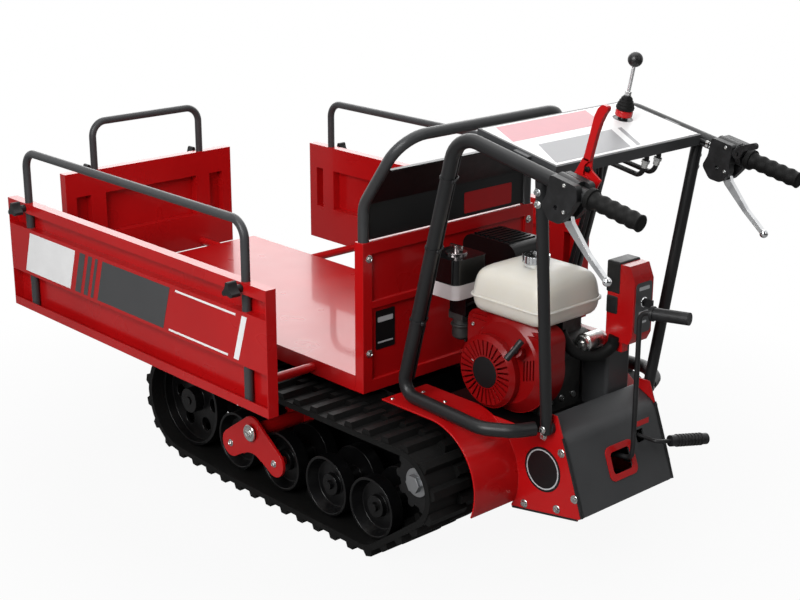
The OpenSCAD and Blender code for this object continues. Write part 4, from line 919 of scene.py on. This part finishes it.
def addTies():
    bm = bmesh.new()
    footX, footZ = cableTies["legFoot"]
    top, foot = at(cableTies["legTop"], 0, handleHeight(cableTies["legTop"])), at(footX, 0, footZ)
    run = (foot - top).normalized()
    loops = [strapLoop(*cableTies[k], cableTies["reach"]) for k in ("outer", "inner")]
    for side in hands.values():
        inward = Vector((0, -side, 0))
        across = run.cross(inward)
        for share in cableTies["places"]:
            spot = top.lerp(foot, share) + Vector((0, side * cableTies["y"] * mm, 0))
            slab(bm, loops, cableTies["width"], placeOn(spot, inward, across))
            buckle = spot + across * cableTies["outer"][0] * mm
            lathe(bm, buckle, run, cableTies["buckle"], cableTies["buckleSides"])
    piece("cable_ties", bm, "chassis", ["plastic"], edge=0.3)


addTies()


# Starter box: dark face, key ring, pale blanks and a dark cap
starter = {
    "face": (-530, -72, 580), "plate": (52, 112, 8), "keyHole": (8.5, (0, 12)), "depth": 1.6,
    "blanks": ((34, 8, 1.5, (0, 43)), (30, 9, 1.5, (0, -12)), (22, 5, 1.5, (0, -32))), "blankDepth": 0.4,
    "key": (-530, -72, 592), "ring": [(7.2, 0.5), (11.5, 0.5), (11.5, 3), (10, 4.2), (7.2, 4.2)],
    "ringSides": 32,
    "cap": [((-492, -106, 606), (-455, -38, 676)), ((-488, -107, 560), (-457.4, -37, 600))],
}


def addStarterFace():
    bm = bmesh.new()
    place = facingRear(*starter["face"])
    slab(bm, [roundRect(*starter["plate"]), circle(*starter["keyHole"])], starter["depth"], place)
    lift = place @ Matrix.Translation((0, 0, starter["depth"] * mm))
    for blank in starter["blanks"]:
        slab(bm, [roundRect(*blank)], starter["blankDepth"], lift, 1)
    piece("starter_face", bm, "chassis", ["grey", "pale"], edge=0)
    bm = bmesh.new()
    lathe(bm, at(*starter["key"]), (-1, 0, 0), starter["ring"], starter["ringSides"], hollow=True)
    piece("key_ring", bm, "chassis", ["chrome"], edge=0.2)
    bm = bmesh.new()
    for low, high in starter["cap"]:
        block(bm, low, high)
    piece("starter_cap", bm, "chassis", ["plastic"], edge=4)


addStarterFace()


# Lever housings: two cheeks on each handle, with a slot between them that the lever swings in
perch = {
    "x": -592, "y": 252, "slot": 11, "wall": 16, "soft": 7,
    "pin": (2, -36), "pinHole": 4.8, "clutchPin": (0, -14), "clutchHole": 6.6, "holeSteps": 24,
    "screws": ((-9, 13), (-19.5, -37)), "screwHead": 4.2,
    "outline": [(30, 21), (30, -20), (38, -44), (14, -66), (-15, -64), (-33, -36), (-45, -4), (-37, 21)],
    "throttleSide": [(30, 21), (30, -20), (38, -44), (14, -66), (-15, -64), (-33, -36), (-25, -18),
        (-25, 21)],
}


def onPerch(u, y, w):
    return onHandle(perch["x"], u, y, w)


def onHandlePlane(y, span=100):    # u to the front, w up, depth towards -Y
    origin = onPerch(0, y, 0)
    return placeOn(origin, onPerch(span, y, 0) - origin, onPerch(0, y, span) - origin)


def addHousings():
    bm = bmesh.new()
    heads = bmesh.new()
    wall, steps = perch["wall"], perch["holeSteps"]
    for side in hands.values():
        for outer in (1, -1):
            middle = side * (perch["y"] + outer * (perch["slot"] + wall / 2))
            shape = "throttleSide" if (side, outer) == (-1, -1) else "outline"
            loops = [softCorners(perch[shape], perch["soft"]), circle(perch["pinHole"], perch["pin"], steps)]
            if (side, outer) == (1, -1):
                loops.append(circle(perch["clutchHole"], perch["clutchPin"], steps))
            slab(bm, loops, wall, onHandlePlane(middle + wall / 2))
            face = middle + side * outer * wall / 2
            for u, w in perch["screws"]:
                screw(heads, onPerch(u, face, w), (0, side * outer, 0), perch["screwHead"])
    piece("lever_housings", bm, "chassis", ["plastic"], edge=2.5)
    piece("housing_screws", heads, "chassis", ["zinc"], edge=0)


addHousings()


# Clutch lever in place of its plain straps: curved blade over two cheeks, pivot pin and a dark spacer
clutchBlade = {
    "bladeDepth": 10, "plate": 4, "nearY": 209, "farY": 203, "hole": 6.2, "holeSteps": 32, "soft": 3,
    "blade": [(15, 46), (14, 60), (12, 86), (10.5, 114), (9, 136), (4.5, 152), (-4, 162), (-17, 162),
        (-19, 155), (-14, 146), (-9, 129), (-5.3, 106), (-3.2, 76), (-1.5, 46)],
    "near": [(16, 50), (21.7, 32), (30.4, 9), (29, -3), (19.6, -9.5), (12, -27), (3, -33.3), (-6, -31),
        (-9, -21), (-9.4, 9), (-1.8, 16.5), (8, 15.5), (9, 36), (-1.5, 50)],
    "far": [(15, 50), (-1.5, 50), (-5, 30), (-32, 18.5), (-21, -12), (-9, -28), (8, -27), (14, -6),
        (18, 22)],
    "pinEnd": 236, "pin": [(5.2, 0), (6, 0.8), (6, 37.2), (5.2, 38)], "pinSides": 32,
    "spacer": (2, 30), "spacerShape": [(4, 0), (5.6, 0.6), (5.6, 9.4), (4, 10)], "spacerSides": 24,
}


def addClutchBlade():
    bm = bmesh.new()
    soft = clutchBlade["soft"]
    slab(bm, [softCorners(clutchBlade["blade"], soft)], clutchBlade["bladeDepth"],
        onHandlePlane(clutchBlade["nearY"]))
    hole = circle(clutchBlade["hole"], perch["clutchPin"], clutchBlade["holeSteps"])
    for cheek in ("near", "far"):
        slab(bm, [softCorners(clutchBlade[cheek], soft), hole], clutchBlade["plate"],
            onHandlePlane(clutchBlade[cheek + "Y"]))
    u, w = perch["clutchPin"]
    lathe(bm, onPerch(u, clutchBlade["pinEnd"], w), (0, -1, 0), clutchBlade["pin"], clutchBlade["pinSides"])
    lever = piece("clutch_blade", bm, "clutch_lever", ["red"], edge=0.8)
    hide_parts("clutch_lever")
    bm = bmesh.new()
    u, w = clutchBlade["spacer"]
    lathe(bm, onPerch(u, clutchBlade["nearY"], w), (0, -1, 0), clutchBlade["spacerShape"],
        clutchBlade["spacerSides"])
    piece("clutch_spacer", bm, "clutch_lever", ["black"], edge=0)


addClutchBlade()


# Rear cover in place of its sharp-folded solid: slanted face with two holes, round fold over the top
rearCover = {
    "half": 149.4, "skin": 4, "fold": 18, "lip": 3, "lipSteps": 4, "footCorner": 10,
    "foot": (-577, 178), "shoulder": (-516, 340), "top": (-458, 368), "lipFoot": (-458, 326.4),
    "front": (-446, 178),
    "gate": (64, 49.2, 3, (3, 82.3)), "range": (26, 27.8, 3, (79, 116.5)),
}


def inside(line, skin):    # the same line, moved to its right by the skin
    moved = []
    for i, point in enumerate(line):
        run = runAt(line, i)
        moved.append(point + Vector((run.y, -run.x)) * skin)
    return moved


def addRearCover():
    bm = bmesh.new()
    half, skin = rearCover["half"], rearCover["skin"]
    foot, shoulder, top, lipFoot = (Vector(rearCover[k]) for k in ("foot", "shoulder", "top", "lipFoot"))
    reach = (shoulder - foot).length - rearCover["fold"]
    run = (shoulder - foot).normalized()
    inner = foot + Vector((run.y, -run.x)) * skin
    place = placeOn(at(inner.x, 0, inner.y), (0, -1, 0), (run.x, 0, run.y))
    sheet = [(-half, 0), (half, 0), (half, 2 * reach), (-half, 2 * reach)]
    corners = [(x, y) for x, y in softCorners(sheet, rearCover["footCorner"]) if y < reach]
    edge = corners + [(half, reach), (-half, reach)]
    edge.sort(key=lambda p: math.atan2(p[1] - reach / 2, p[0]))
    holes = [roundRect(*rearCover[k]) for k in ("gate", "range")]
    slab(bm, [edge, *holes], skin, place)
    fold = bend(foot, shoulder, top, rearCover["fold"])
    lip = bend(shoulder, top, lipFoot, rearCover["lip"], rearCover["lipSteps"])
    line = [*fold, *lip, lipFoot]
    slab(bm, [[tuple(p) for p in line + inside(line, skin)[::-1]]], 2 * half, alongSide(half))
    wall = [tuple(p) for p in [foot, *line, Vector(rearCover["front"])]]
    for y in (half, skin - half):
        slab(bm, [wall], skin, alongSide(y))
    cover = piece("rear_cover_shell", bm, "chassis", ["charcoal"], edge=0)
    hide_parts("rear_cover")


addRearCover()


# Cable adjusters at the housings, and the hose unions behind the console
unions = {
    "cableU": 29, "cableY": 232, "cableW": 4.2,
    "adjuster": [(2.6, 0), (4.1, 0.5), (4.1, 6), (2.8, 6.4), (2.8, 9), (4.1, 9.4), (4.1, 16), (2.4, 18)],
    "hoseY": (-110, -150), "hoseStart": (84, -9.9), "hoseBack": 46, "hoseDrop": (-26, 0, -72),
    "nut": [(8.6, 0), (10.5, 1.2), (10.5, 10), (8.8, 11)],
    "ferrule": [(6, 10), (8, 10.6), (8, 22), (7.2, 24), (5, 24)], "ferruleSides": 24,
    "sleeve": [(5.7, 0), (8.8, 0.8), (8.8, 8), (7, 8.6), (7, 18), (5.7, 19)], "sleeveDown": 27,
}


def addUnions():
    bm = bmesh.new()
    for side in hands.values():
        for w in (unions["cableW"], -unions["cableW"]):
            start = onPerch(unions["cableU"], side * unions["cableY"], w)
            lathe(bm, start, slopeFront, unions["adjuster"], hexSides)
    u, w = unions["hoseStart"]
    for y in unions["hoseY"]:
        start = onConsole(u, y, w)
        lathe(bm, start, -slopeFront, unions["nut"], hexSides)
        lathe(bm, start, -slopeFront, unions["ferrule"], unions["ferruleSides"])
        elbow = start - slopeFront * unions["hoseBack"] * mm
        fall = (start + Vector(unions["hoseDrop"]) * mm - elbow).normalized()
        lathe(bm, elbow + fall * unions["sleeveDown"] * mm, fall, unions["sleeve"], hexSides)
    piece("cable_and_hose_ends", bm, "chassis", ["zinc"], edge=0)


addUnions()


# Small parts of the engine: carburettor, fuel pipe, solenoid, duct and screws
engineParts = {
    "bowl": [(9, 0), (13, 0.5), (21, 6), (22, 12), (22, 30), (25, 32), (25, 37), (19, 38), (19, 54),
        (15, 58), (15, 66)],
    "bowlFoot": (-155, 92, 452), "flange": ((-176, 78, 500), (-132, 112, 520)),
    "solenoid": [(13, 0), (19, 1.5), (20, 4), (20, 44), (21, 45), (21, 50), (17, 52), (17, 60), (7, 61),
        (7, 65)],
    "solenoidEnd": (-442, -40, 497), "roundSides": 32,
    "fuelPipe": ((-238, 104, 566), (-205, 110, 552), (-160, 108, 522)), "fuelPipeRadius": 3,
    "duct": ((-412, 52, 522), (-424, 42, 494), (-444, 22, 474), (-466, -10, 470), (-480, -36, 488),
        (-484, -39, 512)),
    "ductRadius": 13, "ductSides": 18,
    "shroudScrews": ((-225, 512), (-330, 514)), "shroudFace": 127.4, "screwHead": 4.6,
    "blockBolts": (-30, 8, 44), "blockFace": -382, "blockBoltHeight": 352, "blockBoltSize": (8, 6),
}


def addEngineParts():
    bm = bmesh.new()
    lathe(bm, at(*engineParts["bowlFoot"]), (0, 0, 1), engineParts["bowl"], engineParts["roundSides"])
    block(bm, *engineParts["flange"])
    piece("carburettor", bm, "chassis", ["darkCast"], edge=1)
    bm = bmesh.new()
    lathe(bm, at(*engineParts["solenoidEnd"]), (0, 1, 0), engineParts["solenoid"], engineParts["roundSides"])
    for x, z in engineParts["shroudScrews"]:
        screw(bm, at(x, engineParts["shroudFace"], z), (0, 1, 0), engineParts["screwHead"])
    for y in engineParts["blockBolts"]:
        spot = at(engineParts["blockFace"], y, engineParts["blockBoltHeight"])
        bolt(bm, spot, (-1, 0, 0), *engineParts["blockBoltSize"])
    piece("engine_fittings", bm, "chassis", ["zinc"], edge=0)
    bm = bmesh.new()
    tube(bm, [at(*p) for p in engineParts["fuelPipe"]], engineParts["fuelPipeRadius"])
    tube(bm, [at(*p) for p in engineParts["duct"]], engineParts["ductRadius"], engineParts["ductSides"])
    piece("engine_pipes", bm, "chassis", ["gripRubber"], edge=0)


addEngineParts()


# Recoil grip in place of its plain bars: waisted, and tilted as it hangs
recoilGrip = {
    "place": (-389, 172, 505), "pull": (-0.35, 0.8, 0.48), "along": (-0.33, -0.636, 0.82), "half": 26,
    "shape": [(5.2, 0), (7, 1.4), (7.5, 7), (6.3, 19), (6.1, 26), (6.3, 33), (7.5, 45), (7, 50.6), (5.2, 52)],
    "stem": [(6, -13.6), (6, -1), (5, 0)],
}


def addRecoilGrip():
    bm = bmesh.new()
    middle = at(*recoilGrip["place"])
    along = Vector(recoilGrip["along"]).normalized()
    lathe(bm, middle - along * recoilGrip["half"] * mm, along, recoilGrip["shape"])
    lathe(bm, middle, recoilGrip["pull"], recoilGrip["stem"])
    grip = piece("recoil_grip", bm, "recoil_handle", ["plastic"], edge=0)
    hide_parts("recoil_handle")


addRecoilGrip()


# Rear posts in place of their stouter solids, with a pad at the foot
posts = {
    "foot": (-482, 167.2, 356), "top": (-516, 245, 903), "radius": 12.5, "toe": [(10.5, -12), (12.5, -9)],
    "padFace": 154.2, "pad": [(14, 0), (15, 0.8), (15, 10), (13, 11)],
}


def addPosts():
    bm = bmesh.new()
    for side in hands.values():
        foot, top = (at(x, side * y, z) for x, y, z in (posts["foot"], posts["top"]))
        run = top - foot
        lathe(bm, foot, run, [*posts["toe"], (posts["radius"], run.length / mm)])
        lathe(bm, at(posts["foot"][0], side * posts["padFace"], posts["foot"][2]), (0, side, 0), posts["pad"])
    tubes = piece("rear_post_tubes", bm, "chassis", ["tubeCoat"], edge=0)
    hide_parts("rear_posts")


addPosts()


# Moulded fuel tank in place of its plain solid: rings of (height, inset of the sides), round a seam flange
fuelTank = {
    "middle": (-331, 44.5), "foot": 545, "length": 218, "width": 202, "neck": (-346, 64),
    "corner": 32, "cornerSteps": 8, "cornerEase": 0.4, "easeMost": 12, "seamTurn": 50,
    "rings": [(2.0, 34), (2.6, 26), (4.5, 18), (8, 11), (13, 6.5), (20, 3.4), (28, 1.6), (35, 0.8), (38, 0.4),
        (38.6, -2.6), (39.6, -3.8), (41, -4), (42.6, -3.8), (43.6, -2.6), (44.2, 0.4), (50, 1), (60, 2.2),
        (70, 3.8), (80, 6.2), (88, 9.6), (94, 14), (99, 20), (103.4, 28), (107.2, 38), (110.4, 48),
        (113, 58), (115, 69)],
    "neckProfile": [(19.2, 84), (25, 84), (25, 121), (24.2, 122), (20, 122), (19.2, 121)], "neckSides": 40,
}


def addTank():
    bm = bmesh.new()
    rings = []
    for height, inset in fuelTank["rings"]:
        radius = fuelTank["corner"] - min(inset, fuelTank["easeMost"]) * fuelTank["cornerEase"]
        length, width = fuelTank["length"] - 2 * inset, fuelTank["width"] - 2 * inset
        outline = roundRect(length, width, radius, fuelTank["middle"], fuelTank["cornerSteps"])
        rings.append([bm.verts.new(at(x, y, fuelTank["foot"] + height)) for x, y in outline])
    skinOver(bm, rings)
    neck = at(*fuelTank["neck"], fuelTank["foot"])
    lathe(bm, neck, (0, 0, 1), fuelTank["neckProfile"], fuelTank["neckSides"], hollow=True)
    shell = piece("fuel_tank_shell", bm, "chassis", ["tank"], edge=0, turn=fuelTank["seamTurn"])
    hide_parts("fuel_tank")


addTank()


# Frame plates inside the tracks, behind the rollers, with a folded foot
trackPlate = {
    "y": 146, "plate": 4, "corner": 12,
    "outline": [(-150, 196), (470, 196), (452, 92), (420, 66), (-96, 66), (-128, 92)],
    "holes": ((-40, 118), (118, 118), (250, 118)), "hole": 13, "holeSteps": 32,
    "lip": 14, "lipX": (-90, 414), "lipZ": (66, 70),
}


def addTrackPlates():
    bm = bmesh.new()
    holes = [circle(trackPlate["hole"], spot, trackPlate["holeSteps"]) for spot in trackPlate["holes"]]
    (rear, front), (low, high) = trackPlate["lipX"], trackPlate["lipZ"]
    for side in hands.values():
        face = trackPlate["y"] + trackPlate["plate"] if side > 0 else -trackPlate["y"]
        loops = [softCorners(trackPlate["outline"], trackPlate["corner"]), *holes]
        slab(bm, loops, trackPlate["plate"], alongSide(face))
        near, far = sorted((side * trackPlate["y"], side * (trackPlate["y"] + trackPlate["lip"])))
        block(bm, (rear, near, low), (front, far, high))
    piece("track_frame_plates", bm, "chassis", ["black"], edge=1)


addTrackPlates()


# Rubber edging on the rear plate's foot and slope, and the plate that closes the foot
plateTrim = {
    "y": 151.8, "radius": 3.2, "foot": ((-380, 137.5), (-470, 153.5), (-563, 170)),
    "rear": ((-575, 177), (-546, 260), (-516, 340)),
    "floorHalf": 147, "floorPlate": 2, "floorCorner": 6, "floorHole": 16, "holeShare": 0.3, "holeY": 90,
    "holeSteps": 32,
}


def addFootPlate():
    bm = bmesh.new()
    origin, end = (at(x, 0, z) for x, z in (plateTrim["foot"][0], plateTrim["foot"][-1]))
    run = end - origin
    reach = run.length / mm
    edge = roundRect(reach, 2 * plateTrim["floorHalf"], plateTrim["floorCorner"], (reach / 2, 0))
    holes = [circle(plateTrim["floorHole"], (reach * plateTrim["holeShare"], y), plateTrim["holeSteps"])
        for y in (-plateTrim["holeY"], plateTrim["holeY"])]
    slab(bm, [edge, *holes], plateTrim["floorPlate"], placeOn(origin, run, (0, 1, 0)))
    piece("housing_foot_plate", bm, "chassis", ["black"], edge=0)


addFootPlate()


def addPlateTrim():
    bm = bmesh.new()
    for side in hands.values():
        for edge in ("foot", "rear"):
            tube(bm, [at(x, side * plateTrim["y"], z) for x, z in plateTrim[edge]], plateTrim["radius"])
    piece("plate_trim", bm, "chassis", ["plastic"], edge=0)


addPlateTrim()


# Bellows boot that swings with the hydraulic lever, its red foot and its lock nut
boot = {
    "foot": [(12, 6.8), (17.6, 6.8), (18.7, 8.5), (18.7, 19), (17.5, 20.6), (12, 21)],
    "folds": [(12, 20.6), (18.2, 20.9), (19.8, 24), (19.8, 28), (17.8, 31), (18.2, 34), (15.2, 37.5),
        (15.6, 40), (12.2, 43.5), (12.6, 46), (9, 50), (6, 53)],
    "nut": [(4, 52), (7, 52.6), (7, 61), (5, 62)], "sides": 36,
}


def addBoot():
    foot = onConsole(*consoleFace["lever"])
    bm = bmesh.new()
    lathe(bm, foot, slopeUp, boot["folds"], boot["sides"])
    piece("lever_boot", bm, "hydraulic_lever", ["gripRubber"], edge=0.8)
    bm = bmesh.new()
    lathe(bm, foot, slopeUp, boot["foot"], boot["sides"])
    piece("lever_boot_foot", bm, "hydraulic_lever", ["red"], edge=0.8)
    bm = bmesh.new()
    lathe(bm, foot, slopeUp, boot["nut"], hexSides)
    piece("lever_lock_nut", bm, "hydraulic_lever", ["zinc"], edge=0.3)


addBoot()
print("housings, engine parts and boot placed")


# Stage: pale floor and plain soft light, in metres
stageLight = {
    "floorSize": 30, "floorDrop": -0.0006, "floorTone": 0.30,
    "floorFixed": {"Roughness": 0.7, "Specular IOR Level": 0.1},
    "near": 0.7, "far": 1.6, "nearGlow": 0.93, "mirrorFrom": 1.0, "mirrorTo": 2.4,
    "ambient": 0.17, "behindCamera": 0.05, "skyLift": 0.35, "skyRange": (-0.25, 0.5),
}


def beyond(coords, lift):    # how far past the object something lies, looking as the photograph does
    yaw = math.radians(view["yaw"])
    return alongAxis(coords, (math.cos(yaw), math.sin(yaw), lift))


def addFloor():
    mesh = bpy.data.meshes.new("floor")
    bm = bmesh.new()
    bmesh.ops.create_grid(bm, x_segments=1, y_segments=1, size=stageLight["floorSize"])
    bm.to_mesh(mesh)
    bm.free()
    floor = bpy.data.objects.new("floor", mesh)
    floor.location.z = stageLight["floorDrop"]
    bpy.context.scene.collection.objects.link(floor)
    tone = rgba([stageLight["floorTone"]] * 3)
    material, shader, coords = newFinish("pale_floor", {**stageLight["floorFixed"], "Base Color": tone})
    tree = material.node_tree
    path = tree.nodes.new("ShaderNodeLightPath")
    away = coords.node("ShaderNodeVectorMath", {"operation": "LENGTH"}, {0: coords}, 1)
    plain = between(away, stageLight["near"], stageLight["far"]) * (1 - stageLight["nearGlow"])
    white = (stageLight["nearGlow"] + plain) * Wire(path.outputs["Is Camera Ray"])
    behind = between(beyond(coords, 0), stageLight["mirrorFrom"], stageLight["mirrorTo"])
    mirrored = behind * Wire(path.outputs["Is Glossy Ray"])
    glow = coords.node("ShaderNodeEmission", {}, {"Color": (1, 1, 1, 1), "Strength": 1.0})
    both = white.node("ShaderNodeMixShader", {}, {0: white + mirrored, 1: Wire(shader.outputs[0]), 2: glow})
    tree.links.new(both.socket, tree.nodes["Material Output"].inputs["Surface"])
    mesh.materials.append(material)


def addWorld():
    world = bpy.data.worlds.new("studio")
    bpy.context.scene.world = world
    world.use_nodes = True
    tree = world.node_tree
    ground = tree.nodes["Background"]
    path = tree.nodes.new("ShaderNodeLightPath")
    coords = Wire(tree.nodes.new("ShaderNodeTexCoord").outputs["Generated"])
    seen = Wire(path.outputs["Is Camera Ray"])
    mirrored, through = (Wire(path.outputs[k]) for k in ("Is Glossy Ray", "Is Transmission Ray"))
    sharp = seen.maths("MAXIMUM", mirrored, through)
    dim, ambient = stageLight["behindCamera"], stageLight["ambient"]
    sweep = between(beyond(coords, stageLight["skyLift"]), *stageLight["skyRange"]) * (1 - dim) + dim
    other = ambient + sharp * (sweep - ambient)
    tree.links.new((other + seen * (1 - other)).socket, ground.inputs["Strength"])
    ground.inputs["Color"].default_value = (1, 1, 1, 1)


# Soft boxes, all turned to the aim: places in millimetres, sizes in metres
softAim = (100, 0, 450)
softLights = {
    "top": {"place": (250, -100, 3300), "size": (3.2, 3.2), "watts": 48},
    "left": {"place": (-1000, 3300, 2500), "size": (2.4, 2.0), "watts": 158},
    "rear": {"place": (-3000, -400, 2300), "size": (1.8, 1.8), "watts": 13},
    "back": {"place": (3100, -3000, 2450), "size": (4.8, 2.6), "watts": 95},
}


def addLights():
    for name, light in softLights.items():
        data = bpy.data.lights.new(name + "_softbox", "AREA")
        data.shape = "RECTANGLE"
        data.energy = light["watts"]
        data.size, data.size_y = light["size"]
        lamp = bpy.data.objects.new(name + "_softbox", data)
        lamp.location = at(*light["place"])
        lamp.rotation_euler = (at(*softAim) - lamp.location).to_track_quat("-Z", "Y").to_euler()
        lamp.visible_camera = False
        bpy.context.scene.collection.objects.link(lamp)


addFloor()
addWorld()
addLights()
bpy.context.scene.view_settings.view_transform = "Standard"
print("stage lit")
